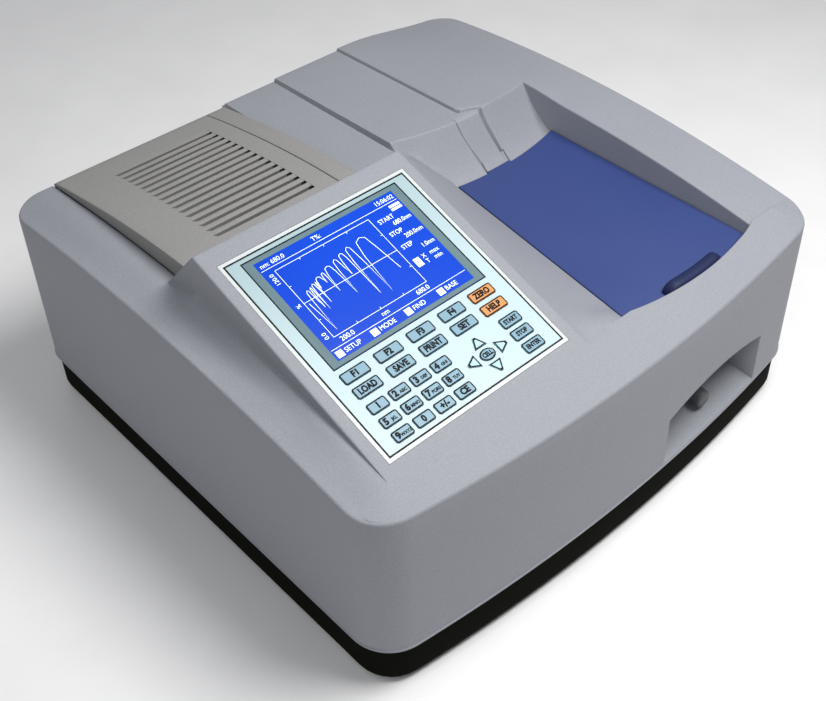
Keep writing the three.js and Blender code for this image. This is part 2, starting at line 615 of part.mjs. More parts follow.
const GRATING = { x: -10, y: -40 };
function grating() {
  const { x, y } = GRATING;
  let body = rod('z', 16, MONO.z0 + GAP, MONO.z0 + 12, x, y, 24);
  body = body.add(box(x - 8, y - 15, MONO.z0 + 10, x + 4, y + 15, BEAM_Z + 16));
  for (let k = -5; k <= 5; k += 1) {
    const groove = y + k * 2.6;
    body = body.subtract(box(x + 3.4, groove - 0.4, BEAM_Z - 14, x + 5, groove + 0.4, BEAM_Z + 14));
  }
  return body;
}
place('grating', grating(), mirrorGlass);

const WHEEL = { x: -30, y: 54, r: 26, z: 86 };
function filterWheel() {
  let body = rod('y', WHEEL.r, WHEEL.y - 2, WHEEL.y + 2, WHEEL.x, WHEEL.z, 36);
  for (let k = 0; k < 6; k += 1) {
    const angle = k / 6 * 2 * Math.PI - Math.PI / 2;
    const x = WHEEL.x + 16 * Math.cos(angle);
    const z = WHEEL.z + 16 * Math.sin(angle);
    body = body.subtract(rod('y', 5, WHEEL.y - 5, WHEEL.y + 5, x, z, 12));
  }
  return body.add(rod('y', 4, WHEEL.y, WHEEL.y + 22, WHEEL.x, WHEEL.z, 16));
}
place('filter_wheel', filterWheel(), blackPlastic);

const MIRROR = { x: -60, y: 105 };
function sourceMirror() {
  const base = rod('z', 9, BENCH.z1 + GAP, BENCH.z1 + 16, MIRROR.x, MIRROR.y, 20);
  const turned = new THREE.BoxGeometry(5, 34, 34);
  turned.rotateZ(Math.PI / 4).translate(MIRROR.x, MIRROR.y, BEAM_Z);
  return base.add(rod('z', 3, BENCH.z1 + 8, BEAM_Z, MIRROR.x, MIRROR.y, 12)).add(solid(turned));
}
place('source_mirror', sourceMirror(), mirrorGlass);

function lamp(x, y, radius, top, baseR) {
  const low = BENCH.z1 + GAP;
  const base = [[0, low], [baseR, low], [baseR, low + 16]];
  const profile = [...base, [radius, low + 20], [radius, top - radius * 0.6]];
  for (let k = 1; k <= 5; k += 1) {
    const angle = k / 5 * Math.PI / 2;
    profile.push([radius * Math.cos(angle), top - radius * 0.6 * (1 - Math.sin(angle))]);
  }
  const points = profile.map(([r, z]) => new THREE.Vector2(Math.max(0, r), z));
  points[points.length - 1].x = 0;
  const geometry = new THREE.LatheGeometry(points, 24);
  geometry.rotateX(Math.PI / 2).translate(x, y, 0);
  return solid(geometry);
}
place('deuterium_lamp', lamp(-135, 105, 14, 112, 20), lampGlass);
place('tungsten_lamp', lamp(-90, 145, 6.5, 88, 12), lampGlass);

const DETECTOR = { x0: 178, x1: 212, y0: -92, y1: -20, z1: 112, port: 7 };
function detector() {
  const { x0, x1, y0, y1, z1, port } = DETECTOR;
  const body = box(x0, y0, BENCH.z1 + GAP, x1, y1, z1);
  return body.subtract(rod('x', port, x0 - 8, x0 + 12, BEAM_Y, BEAM_Z));
}
place('detector', detector(), blackPlastic);

// Electronics
const SUPPLY = { x0: -205, x1: -80, y0: -165, y1: -30, z0: 13, z1: 68, vents: 9, pitch: 13 };
function powerSupply() {
  const { x0, x1, y0, y1, z0, z1, vents, pitch } = SUPPLY;
  let body = box(x0, y0, z0, x1, y1, z1);
  for (let k = 0; k < vents; k += 1) {
    const x = x0 + 9 + k * pitch;
    body = body.subtract(box(x, y0 + 20, z1 - 6, x + 5, y1 - 20, z1 + 2));
  }
  return body;
}
place('power_supply', powerSupply(), steel);

const BOARD = { x0: -206, x1: -76, y0: -165, y1: 8, z0: 92, z1: 93.8 };
function mainBoard() {
  const { x0, x1, y0, y1, z0, z1 } = BOARD;
  let body = box(x0, y0, z0, x1, y1, z1);
  const chips = [
    [-150, -100, 30, 30, 4], [-100, -140, 20, 12, 6],
    [-190, -60, 16, 40, 9], [-110, -50, 24, 16, 5],
  ];
  chips.forEach(([x, y, w, d, h]) => {
    body = body.add(box(x - w / 2, y - d / 2, z0 + 1, x + w / 2, y + d / 2, z1 + h));
  });
  [[-200, -158], [-82, -158], [-200, 0], [-82, 0]].forEach(([x, y]) => {
    body = body.add(rod('z', 3, z0 - 20, z0 + 0.5, x, y, 10));
  });
  return body;
}
place('main_board', mainBoard(), boardGreen);

function fanFrame() {
  const { x, z, size, y0, y1 } = FAN;
  const half = size / 2;
  let body = box(x - half, y0, z - half, x + half, y1, z + half);
  body = body.subtract(rod('y', 37, y0 - 5, y1 + 5, x, z, 40));
  body = body.add(box(x - 38, y0, z - 2, x + 38, y0 + 3, z + 2));
  body = body.add(box(x - 2, y0, z - 38, x + 2, y0 + 3, z + 38));
  return body.add(rod('y', 14, y0, y0 + 3, x, z, 24));
}
place('fan_frame', fanFrame(), blackPlastic);

function fanRotor() {
  const { x, z, y0, y1 } = FAN;
  const low = y0 + 4;
  let body = rod('y', 15, low, y1 - 2, x, z, 24);
  for (let k = 0; k < 7; k += 1) {
    const blade = new THREE.BoxGeometry(21, 22, 1.6);
    blade.rotateX(0.6).translate(24, 0, 0).rotateY(k / 7 * 2 * Math.PI).translate(x, (low + y1 - 2) / 2, z);
    body = body.add(solid(blade));
  }
  return body;
}
place('fan_rotor', fanRotor(), blackPlastic);

// Mains inlet with the switch housing above it, flush with the rear wall
const ROCKER = { z: INLET.z + 16, w: 20, pivotY: 203 };
function mainsInlet() {
  const { x, z, w, h, y0 } = INLET;
  let body = box(x - w / 2, y0, z - h / 2, x + w / 2, HALF_D - 0.2, z + h / 2);
  const socketZ = z - 14;
  body = body.subtract(box(x - 12.5, 192, socketZ - 10, x + 12.5, 220, socketZ + 10));
  body = body.subtract(box(x - 10.6, 188, ROCKER.z - 11.2, x + 10.6, 220, ROCKER.z + 11.2));
  [[-7, -2], [0, 3.5], [7, -2]].forEach(([dx, dz]) => {
    body = body.add(box(x + dx - 1, 190, socketZ + dz - 3, x + dx + 1, 206, socketZ + dz + 3));
  });
  return body;
}
place('mains_inlet', mainsInlet(), blackPlastic);

const ROCKER_TILT = THREE.MathUtils.degToRad(10);
function powerSwitch() {
  const profile = [[-5, -9], [3.5, -9.5], [1.8, 0], [3.5, 9.5], [-5, 9]];
  const geometry = profileGeometry(profile, -ROCKER.w / 2, ROCKER.w / 2);
  geometry.rotateX(ROCKER_TILT).translate(INLET.x, ROCKER.pivotY, ROCKER.z);
  return solid(geometry);
}
place('power_switch', powerSwitch(), rubberBlack);

export default parts;
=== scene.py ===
"""Benchtop spectrophotometer: the looks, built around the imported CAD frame."""

import math
from collections import namedtuple
from contextlib import contextmanager

import bmesh
import bpy
import numpy as np
from mathutils import Matrix, Vector


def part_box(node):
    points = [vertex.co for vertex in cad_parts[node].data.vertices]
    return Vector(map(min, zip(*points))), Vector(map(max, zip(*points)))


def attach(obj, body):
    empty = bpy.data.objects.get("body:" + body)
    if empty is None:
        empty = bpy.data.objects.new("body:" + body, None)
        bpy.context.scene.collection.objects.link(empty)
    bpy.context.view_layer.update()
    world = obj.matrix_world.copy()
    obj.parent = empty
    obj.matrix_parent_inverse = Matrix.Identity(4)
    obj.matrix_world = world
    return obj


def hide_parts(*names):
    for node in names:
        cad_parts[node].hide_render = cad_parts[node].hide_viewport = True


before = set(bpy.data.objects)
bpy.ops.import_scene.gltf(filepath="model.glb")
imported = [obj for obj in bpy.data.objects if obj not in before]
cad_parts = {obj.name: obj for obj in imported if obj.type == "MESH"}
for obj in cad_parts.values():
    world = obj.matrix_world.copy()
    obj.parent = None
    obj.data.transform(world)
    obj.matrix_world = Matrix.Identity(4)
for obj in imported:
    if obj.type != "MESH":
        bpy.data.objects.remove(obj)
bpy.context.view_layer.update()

# Driving dimensions in millimetres, as in the CAD model where it has the same feature
MM = 0.001
HALF_W = 221                # half the casing's width and depth
HALF_D = 211
FRONT_BOW = 16.7            # how far the front's corners lie behind its middle
FRONT_LEAN = 6
FRONT_CORNER_R = 31
REAR_CORNER_R = 23
CASING_Z = 38               # the casing's lower rim
DECK_Z = 154                # the front deck's front edge
CREST_Z = 180               # top of the arched crease line along the sides, and where it is highest
CREST_Y = 51
CREASE_BEND = 0.000379
PANEL_TILT = 0.3365         # rise over run of the display housing's face
WEDGE_LEFT = -190           # the display housing
WEDGE_RIGHT = -16
WEDGE_BACK_Y = 12.5
WEDGE_FOOT_Y = 52
DECK_FRONT_Y = -168         # foot of the display housing's face
LCD = (-102.7, -51.8, 204.8)   # the display's centre on that face
FOIL_LINE_U = 75.3          # the black line round the keypad foil, from the display's centre
FOIL_LINE_LOW = -110.8
FOIL_LINE_HIGH = 50.3
KEYPAD_X = (-181.4, -24.0)  # opening for the keypad foil
KEYPAD_Y = (-160.1, -0.9)
TUB_X = (64, 163)           # opening over the sample compartment
TUB_Y = (-148, 18)
STEP_X = (25, 28.5)         # foot and top of the rear deck's first step
LID_Z = 153.5               # the lid's top
LID_T = 3
WELL_Z = 150                # floor of the well round the lid
RAMP_Z = 150.5              # foot of the ramp behind the lid
WALL_FOOT_Z = 152.7         # the sloping wall left of the lid ends just under the lid's top
WELL_RIGHT = 171
COVER_LEFT = -182           # the lamp cover, then its trim right of the seam
COVER_SEAM = -45
COVER_RIGHT = -28
COVER_REAR = 208.5
COVER_FRONT = 36.3          # where the cover's top surface meets the display housing
HINGE_Y = 33                # the lid's hinge pin
HINGE_Z = 150
CREASE_R = 2.2              # rounding where the top meets the walls
GRID_X = 218                # half the straight grid that becomes the top
GRID_Y = 208
SHELL = 2.2                 # thickness of the visible shell
SLOPE = math.atan(PANEL_TILT)


def smooth(t):
    s = np.clip(t, 0, 1)
    return s * s * (3 - 2 * s)


def mix(a, b, t):
    return a + (b - a) * t


# ---- camera, light and floor
def put(name, data):
    """A new object in the scene."""
    obj = bpy.data.objects.new(name, data)
    bpy.context.scene.collection.objects.link(obj)
    return obj


def make_camera():
    data = bpy.data.cameras.new("camera")
    data.sensor_width = 36
    data.lens = 52.21
    camera = put("camera", data)
    camera.location = (-0.4881, -0.5080, 0.6929)
    camera.rotation_euler = (math.radians(46.92), 0, math.radians(-43.09))
    bpy.context.scene.camera = camera


def area_light(name, location, target, size, power, colour=(0.98, 0.99, 1.0)):
    data = bpy.data.lights.new(name, "AREA")
    data.shape = "DISK"
    data.size = size
    data.energy = power
    data.color = colour
    light = put(name, data)
    light.location = location
    light.rotation_euler = (Vector(target) - Vector(location)).to_track_quat("-Z", "Y").to_euler()


def make_studio():
    """One main light from the front right, three weaker ones and a dim sky."""
    area_light("key_light", (0.22, -0.38, 1.05), (0, -0.14, 0.1), 0.6, 12.3, (1.0, 0.99, 0.98))
    area_light("top_light", (-0.8, -0.3, 1.6), (0, 0, 0.1), 1.0, 4.2)
    area_light("rear_light", (0.5, 1.7, 1.7), (0, 0.1, 0.1), 1.2, 3)
    area_light("left_light", (-2.0, -0.4, 1.4), (-0.5, -0.3, 0), 1.2, 6.5)
    world = bpy.data.worlds.new("studio")
    world.use_nodes = True
    background = world.node_tree.nodes["Background"]
    background.inputs["Color"].default_value = (0.93, 0.95, 1.0, 1)
    background.inputs["Strength"].default_value = 0.20
    bpy.context.scene.world = world
    bpy.context.scene.view_settings.view_transform = "Standard"


def make_floor():
    reach = 6.0
    mesh = bpy.data.meshes.new("floor")
    corners = [(-reach, -reach, 0), (reach, -reach, 0), (reach, reach, 0), (-reach, reach, 0)]
    mesh.from_pydata(corners, [], [(0, 1, 2, 3)])
    mesh.materials.append(plastic("floor_paper", (0.86, 0.86, 0.86), 0.9, 3, 0.02, 0.01))
    put("floor", mesh)


# ---- materials
def nodes_of(name):
    material = bpy.data.materials.new(name)
    material.use_nodes = True
    tree = material.node_tree
    return material, tree, tree.nodes["Principled BSDF"]


def feed(tree, node, inputs):
    """Gives each of a node's inputs a value, or links it to another node's output."""
    for key, value in inputs.items():
        if isinstance(value, bpy.types.NodeSocket):
            tree.links.new(value, node.inputs[key])
        else:
            node.inputs[key].default_value = value


def add_node(tree, kind, inputs, output, **settings):
    """A new shader node with its settings and inputs; returns the output that is used."""
    node = tree.nodes.new("ShaderNode" + kind)
    for key, value in settings.items():
        setattr(node, key, value)
    feed(tree, node, inputs)
    return node.outputs[output]


def coordinates(tree):
    return tree.nodes.new("ShaderNodeTexCoord").outputs["Object"]


def noise(tree, coords, scale, detail, rough):
    inputs = {"Vector": coords, "Scale": scale, "Detail": detail, "Roughness": rough}
    return add_node(tree, "TexNoise", inputs, "Fac")


def ramp(tree, value, stops):
    node = tree.nodes.new("ShaderNodeValToRGB")
    elements = node.color_ramp.elements
    while len(elements) < len(stops):
        elements.new(0.5)
    for element, (position, colour) in zip(elements, stops):
        element.position = position
        element.color = (*colour, 1)
    feed(tree, node, {"Fac": value})
    return node.outputs["Color"]


def multiplied(tree, a, b):
    inputs = {"Factor": 1.0, "A": a, "B": b}
    return add_node(tree, "Mix", inputs, "Result", data_type="RGBA", blend_type="MULTIPLY")


def bumped(tree, height, strength, distance):
    inputs = {"Height": height, "Strength": strength, "Distance": distance * MM}
    return add_node(tree, "Bump", inputs, "Normal")


def shade(colour, factor):
    return tuple(min(1.0, c * factor) for c in colour)


def grey(level):
    return (level, level, level)


def plastic(name, colour, rough, grain, bump, mottle, metal=0.0, gloss=0.5):
    """Moulded plastic, sheet or metal: fine grain in colour and height, slow mottling in roughness."""
    material, tree, shader = nodes_of(name)
    coords = coordinates(tree)
    fine = noise(tree, coords, grain, 3.0, 0.7)
    slow = noise(tree, coords, 14, 3.0, 0.5)
    speckle = ramp(tree, fine, [(0.3, shade(colour, 1 - mottle)), (0.7, shade(colour, 1 + mottle))])
    blotch = ramp(tree, slow, [(0.3, grey(0.965)), (0.7, grey(1.0))])
    limits = {"Value": slow, "To Min": max(0.02, rough - 0.06), "To Max": min(1.0, rough + 0.06)}
    feed(tree, shader, {
        "Base Color": multiplied(tree, speckle, blotch),
        "Roughness": add_node(tree, "MapRange", limits, "Result"),
        "Metallic": metal,
        "Specular IOR Level": gloss,
        "Normal": bumped(tree, fine, bump, 0.25),
    })
    return material


def emissive(name, colour, glow, gloss=0.5):
    """A lit display layer: its own light over a glossy sheet, with the faint grid of its dots."""
    material, tree, shader = nodes_of(name)
    coords = coordinates(tree)
    dots = noise(tree, coords, 2600, 1.0, 0.4)
    wide = noise(tree, coords, 16, 1.0, 0.4)
    tint = ramp(tree, dots, [(0.35, shade(colour, 0.94)), (0.65, shade(colour, 1.05))])
    slow = ramp(tree, wide, [(0.3, grey(0.9)), (0.7, grey(1.0))])
    picture = multiplied(tree, tint, slow)
    feed(tree, shader, {
        "Base Color": picture,
        "Emission Color": picture,
        "Emission Strength": glow,
        "Specular IOR Level": gloss,
        "Roughness": 0.25,
    })
    return material


def panel_print(name, field, field_top, border):
    """The printed keypad foil: a pale field that is bluer towards the top, inside a white border."""
    material, tree, shader = nodes_of(name)
    place = {"Vector": coordinates(tree), "Location": Vector(LCD) * MM, "Rotation": (SLOPE, 0, 0)}
    on_foil = add_node(tree, "Mapping", place, "Vector", vector_type="TEXTURE")
    u, v = (add_node(tree, "SeparateXYZ", {"Vector": on_foil}, axis) for axis in "XY")

    def compute(operation, a, b=0.0):
        return add_node(tree, "Math", {0: a, 1: b}, "Value", operation=operation)

    low_v, tall = FOIL_LINE_LOW * MM, (FOIL_LINE_HIGH - FOIL_LINE_LOW) * MM
    from_middle = compute("ABSOLUTE", compute("SUBTRACT", v, low_v + tall / 2))
    over_u = compute("SUBTRACT", compute("ABSOLUTE", u), FOIL_LINE_U * MM)
    over_v = compute("SUBTRACT", from_middle, tall / 2)
    outside = compute("GREATER_THAN", compute("MAXIMUM", over_u, over_v))
    height = compute("DIVIDE", compute("SUBTRACT", v, low_v), tall)
    pale = ramp(tree, height, [(0.0, field), (0.45, field), (1.0, field_top)])
    choice = {"Factor": outside, "A": pale, "B": (*border, 1)}
    fine = noise(tree, coordinates(tree), 1500, 2.0, 0.6)
    feed(tree, shader, {
        "Base Color": add_node(tree, "Mix", choice, "Result", data_type="RGBA"),
        "Roughness": 0.38,
        "Normal": bumped(tree, fine, 0.05, 0.1),
    })
    return material


def lamp_glass():
    material, tree, shader = nodes_of("lamp_glass")
    waves = noise(tree, coordinates(tree), 30, 1.0, 0.4)
    feed(tree, shader, {
        "Base Color": ramp(tree, waves, [(0.3, (0.90, 0.94, 0.96)), (0.7, (0.97, 0.99, 1.0))]),
        "Transmission Weight": 0.85,
        "Roughness": 0.06,
        "Normal": bumped(tree, waves, 0.05, 0.3),
    })
    return material


# Colour, roughness, grain scale, bump strength and mottling of each, then what is special about it
CASING = plastic("casing_plastic", (0.262, 0.272, 0.304), 0.60, 1100, 0.35, 0.13)
COVER = plastic("cover_plastic", (0.254, 0.252, 0.244), 0.66, 1000, 0.4, 0.14)
# painted shade: a dark colour that stands for the shadow inside the louvre openings
MESH = plastic("louvre_painted_shade", (0.104, 0.102, 0.096), 0.8, 1400, 0.5, 0.3)
PAN = plastic("pan_plastic", (0.0050, 0.0058, 0.0034), 0.75, 800, 0.2, 0.15, gloss=0.02)
LID = plastic("lid_plastic", (0.0265, 0.049, 0.182), 0.5, 700, 0.05, 0.04)
HANDLE = plastic("handle_plastic", (0.011, 0.018, 0.066), 0.55, 700, 0.05, 0.05, gloss=0.25)
PANEL = panel_print("panel_foil", (0.430, 0.560, 0.590), (0.330, 0.450, 0.480), (0.55, 0.60, 0.60))
INK = plastic("black_ink", (0.004, 0.006, 0.008), 0.6, 900, 0.03, 0.1, gloss=0.15)
KEY_BLUE = plastic("key_blue_foil", (0.158, 0.312, 0.400), 0.4, 900, 0.06, 0.04)
KEY_BRIGHT = plastic("key_bright_foil", (0.360, 0.560, 0.610), 0.4, 900, 0.06, 0.04)
KEY_ORANGE = plastic("key_orange_foil", (0.620, 0.240, 0.045), 0.4, 900, 0.06, 0.04)
BEZEL = plastic("display_bezel", (0.085, 0.160, 0.180), 0.4, 900, 0.05, 0.05)
SCREEN = emissive("display_glass", (0.004, 0.046, 0.440), 0.45, gloss=0.15)
GLYPH = emissive("display_white", (0.75, 0.84, 1.0), 0.75)
RUBBER = plastic("foot_rubber", (0.012, 0.012, 0.012), 0.85, 500, 0.4, 0.2)
STEEL = plastic("brushed_steel", (0.50, 0.51, 0.52), 0.35, 400, 0.08, 0.05, metal=1.0)
ALLOY = plastic("cast_alloy", (0.40, 0.41, 0.43), 0.5, 300, 0.25, 0.08, metal=0.9)
BLACK = plastic("black_plastic", (0.020, 0.021, 0.023), 0.55, 800, 0.25, 0.12)
KNOB = plastic("knob_plastic", (0.080, 0.083, 0.088), 0.5, 900, 0.2, 0.1)
MIRROR = plastic("mirror_glass", (0.80, 0.84, 0.88), 0.08, 60, 0.01, 0.02, metal=1.0)
BOARD = plastic("board_green", (0.018, 0.130, 0.050), 0.45, 160, 0.2, 0.25)
GLASS = lamp_glass()


# ---- mesh helpers
@contextmanager
def editing(mesh):
    """Opens a mesh as a bmesh and writes it back."""
    bm = bmesh.new()
    bm.from_mesh(mesh)
    yield bm
    bm.to_mesh(mesh)
    bm.free()


def new_mesh(name, verts, faces):
    """A mesh from points in millimetres."""
    mesh = bpy.data.meshes.new(name)
    mesh.from_pydata([tuple(float(c) * MM for c in v) for v in verts], [], [tuple(f) for f in faces])
    return mesh


def clean(bm, near, thin):
    """Merges points that are near, dissolves faces that are thin, and turns the normals one way."""
    bmesh.ops.remove_doubles(bm, verts=bm.verts, dist=near * MM)
    bmesh.ops.dissolve_degenerate(bm, edges=bm.edges, dist=thin * MM)
    bmesh.ops.recalc_face_normals(bm, faces=bm.faces)


def piece(name, skin, material, body, stands_for=(), sharp=35):
    """A new mesh from a skin's points and faces, smooth except at edges sharper than the given angle."""
    mesh = new_mesh(name, *skin)
    with editing(mesh) as bm:
        clean(bm, 0.02, 0.005)
    return finish_piece(name, mesh, material, body, stands_for, sharp)


def finish_piece(name, mesh, material, body, stands_for, sharp):
    mesh.shade_smooth()
    mesh.set_sharp_from_angle(angle=math.radians(sharp))
    mesh.materials.append(material)
    obj = put(name, mesh)
    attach(obj, body)
    if stands_for:
        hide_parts(*stands_for)
    return obj


def grid_faces(ni, nj):
    """Faces of a grid whose points are stored row by row, ni points in each of nj rows."""
    corners = [j * ni + i for j in range(nj - 1) for i in range(ni - 1)]
    return [(a, a + 1, a + ni + 1, a + ni) for a in corners]


def loft(rings, capped=True):
    """Vertices and faces of a skin through closed rings with the same number of points."""
    count = len(rings[0])
    verts = [p for ring in rings for p in ring]
    faces = []
    for k in range(len(rings) - 1):
        for i in range(count):
            a, b = k * count + i, k * count + (i + 1) % count
            faces.append((a, b, b + count, a + count))
    if capped:
        faces.append(tuple(range(count))[::-1])
        faces.append(tuple((len(rings) - 1) * count + i for i in range(count)))
    return verts, faces


def turn_up(bm):
    """Turns the faces of an open surface so that most of them point up and out."""
    if sum(f.normal.z * f.calc_area() for f in bm.faces) < 0:
        bmesh.ops.reverse_faces(bm, faces=bm.faces)


def thicken(obj, thickness, sharp):
    """Gives an open surface its wall thickness, inwards, with crisp edges round its openings."""
    wall = obj.modifiers.new("shell", "SOLIDIFY")
    wall.thickness = thickness * MM
    wall.offset = -1
    bpy.context.view_layer.update()
    solid = bpy.data.meshes.new_from_object(obj.evaluated_get(bpy.context.evaluated_depsgraph_get()))
    surface = obj.data
    obj.modifiers.clear()
    obj.data = solid
    bpy.data.meshes.remove(surface)
    solid.set_sharp_from_angle(angle=math.radians(sharp))


def soften(obj, width):
    """A rounded edge on a CAD node, as a modifier."""
    bevel = obj.modifiers.new("soft_edges", "BEVEL")
    bevel.width = width * MM
    bevel.segments = 2
    bevel.limit_method = "ANGLE"
    bevel.angle_limit = math.radians(35)
    bevel.harden_normals = True


# ---- shape of the moulded top
def crease_z(y):
    return CREST_Z - CREASE_BEND * (y - CREST_Y) ** 2


def panel_z(y):
    return LCD[2] + PANEL_TILT * (y - LCD[1])


WEDGE_TOP_Z = panel_z(WEDGE_BACK_Y)
WEDGE_BACK_SLOPE = (WEDGE_TOP_Z - CREST_Z) / (WEDGE_FOOT_Y - WEDGE_BACK_Y)


def back_face_z(y):
    return WEDGE_TOP_Z - WEDGE_BACK_SLOPE * (y - WEDGE_BACK_Y)


def front_deck_z(y):
    return mix(DECK_Z, panel_z(DECK_FRONT_Y), (y + 209) / (209 + DECK_FRONT_Y))


def lid_left_x(y):
    return mix(33, 58, (y + 158) / 184)


def across_well(x):
    return np.clip(x, 30, WELL_RIGHT) - 103


def well_front_y(x):
    across = across_well(x)
    return -176 + (12 if across > 0 else 8) * (across / 68) ** 2


def ramp_foot_y(x):
    return 22 + 9 * (across_well(x) / 68) ** 2


def ramp_crest_y(x):
    return 54.5 + 11 * (across_well(x) / 65) ** 2


def cover_top_z(y):
    return 199 - 20.5 * (np.maximum(0, y - 38) / 170) ** 1.7


def cover_seat_z(y):
    return crease_z(y) + 0.5


def margin_z(x, y):
    front_rise = panel_z(DECK_FRONT_Y) - crease_z(DECK_FRONT_Y)
    rise = mix(front_rise, 4.5, smooth((y - DECK_FRONT_Y) / 50))
    return crease_z(y) + rise * smooth((HALF_W - abs(x)) / 28)


# Lines that the moulding's relief follows: groove A and rib B on the ramp, then the second step
SLOT_END_Y = 32.7
SLOT_A = (88.6, 92.0)
SLOT_B = (112.6, 116.0)


def groove_a0(y):
    return mix(SLOT_A[0], 84, smooth((y - SLOT_END_Y) / 22))


def groove_a1(y):
    return groove_a0(y) + mix(SLOT_A[1] - SLOT_A[0], 1.6, smooth((y - SLOT_END_Y) / 10))


def rib_b0(y):
    return mix(mix(SLOT_B[0], 109, smooth((y - SLOT_END_Y) / 21)), 94, smooth((y - 57) / 7))


def rib_b1(y):
    return mix(mix(SLOT_B[1], 113.5, smooth((y - SLOT_END_Y) / 21)), 95.5, smooth((y - 57) / 8.5))


def stepped(share, *levels):
    """The level across a groove or a step, from its levels at no, one, two and three thirds of its width."""
    return float(np.interp(share, (0, 1 / 3, 2 / 3, 1), levels))


def share_of_groove(x, y):
    return (x - groove_a0(y)) / (groove_a1(y) - groove_a0(y))


def share_of_rib(x, y):
    return (x - rib_b0(y)) / (rib_b1(y) - rib_b0(y))


def share_of_step(x):
    return (x - STEP_X[0]) / (STEP_X[1] - STEP_X[0])


def step_one(x, y):
    """The first step of the rear deck, a near-vertical face that gets lower towards the rear."""
    return mix(4, 2.3, (y - 50) / 158) * stepped(share_of_step(x), 0, -0.4, 0.95, 1)


def step_two(x, y):
    """The raised part right of rib B and of the second step, with a fine groove along the step's foot."""
    return stepped(share_of_rib(x, y), 0, -2.8 * smooth((y - 58) / 4), 1.5, 2)


def deck_base_z(x, y):
    strip = mix(182.5, 179, (y - 50) / 158)
    rise = strip + step_one(x, y) - crease_z(y)
    return crease_z(y) + rise * deck_edge(x)


def deck_edge(x):
    """The rear deck settles to the level of the outer edge, quickly on the left and slowly on the right."""
    return smooth((HALF_W - 6 - abs(x)) / (60 if x < 0 else 112))


def deck_z(x, y):
    return deck_base_z(x, y) + step_two(x, y) * deck_edge(x)


def soft_max(a, b, radius):
    h = np.clip(0.5 + 0.5 * (a - b) / radius, 0, 1)
    return mix(b, a, h) + radius * h * (1 - h)


def soft_min(a, b, radius):
    return -soft_max(-a, -b, radius)


CHANNEL = -1.5              # level of the channel between groove A and rib B


def ramp_relief(x, y):
    """The shallow channel between groove A and rib B, and the groove line itself."""
    if share_of_groove(x, y) < 1:
        return stepped(share_of_groove(x, y), 0, -4.2, -3.2, CHANNEL)
    return stepped(share_of_rib(x, y), CHANNEL, -4.2, -0.2, 0)


def lid_wall_z(x, y):
    """The sloping wall left of the lid, from the display housing's edge down to the lid."""
    wall_top = panel_z(y) if y < WEDGE_BACK_Y else WEDGE_TOP_Z
    share = (x - WEDGE_RIGHT) / (lid_left_x(y) - WEDGE_RIGHT)
    wall = mix(wall_top, WALL_FOOT_Z, share) if share < 1.001 else WELL_Z
    if 0 < share < 1:
        wall = mix(wall, wall_top, 4 * share * (1 - share) * (1 - smooth((y - DECK_FRONT_Y) / 28)))
    if y > WEDGE_BACK_Y:
        wall = soft_min(wall, back_face_z(y), 1.5)
    return wall


def behind_lid_z(x, y):
    """The well's floor, the ramp that climbs behind the lid, and the rear deck."""
    crest = ramp_crest_y(x)
    climb = (y - ramp_foot_y(x)) / (crest - ramp_foot_y(x))
    if climb >= 1:
        behind = deck_z(x, y) + ramp_relief(x, y) * smooth((crest + 2.5 - y) / 2.5)
    elif climb > 0:
        raised = float(np.clip(share_of_rib(x, y), 0, 1))
        rise = mix(RAMP_Z, deck_base_z(x, crest) + 2 * raised, climb ** 1.4)
        behind = rise + ramp_relief(x, y) * smooth(climb * 12)
    else:
        behind = WELL_Z
    if x < STEP_X[1] and y > 40:
        behind = mix(deck_z(x, y), behind, smooth(share_of_step(x)))
    return behind


def top_z(x, y, column_zone, row_zone):
    """Height of the top at a point that belongs to a zone of columns and of rows."""
    if row_zone == "front":
        edge = smooth((HALF_W - abs(x)) / 28)
        return crease_z(y) + (front_deck_z(max(y, -209)) - crease_z(y)) * edge
    if column_zone == "right":
        return mix(crease_z(y), deck_z(x, y), smooth((y - 15) / 52))
    if column_zone == "margin":
        scoop = smooth((x - WEDGE_LEFT + 22) / 22) ** 3
        wedge = min(panel_z(y), back_face_z(y))
        return margin_z(x, y) + scoop * max(0, wedge - crease_z(y) - 4.5) * 0.35
    if column_zone in ("shoulder", "seat", "strip"):
        wedge = panel_z(y) if y < WEDGE_BACK_Y else back_face_z(y)
        if y < WEDGE_BACK_Y + 20:
            return wedge
        deck = {"shoulder": margin_z(x, y), "seat": cover_seat_z(y), "strip": deck_z(x, y)}[column_zone]
        return soft_max(wedge, deck, 0.8)
    wall, behind = lid_wall_z(x, y), behind_lid_z(x, y)
    return max(WELL_Z, soft_max(wall, behind, 1.5) if wall > WELL_Z + 1 else max(wall, behind))


def lid_foot_x(y):
    """Where the wall left of the lid ends; behind the lid this line runs into the deck's first step."""
    return mix(min(lid_left_x(y), 60), STEP_X[0], smooth((y - 30) / 16))


def after_foot_x(y):
    return mix(min(lid_left_x(y), 60) + 2, STEP_X[1], smooth((y - 30) / 16))


def slot_end_y(x):
    return mix(ramp_foot_y(x), ramp_crest_y(x), 0.314)


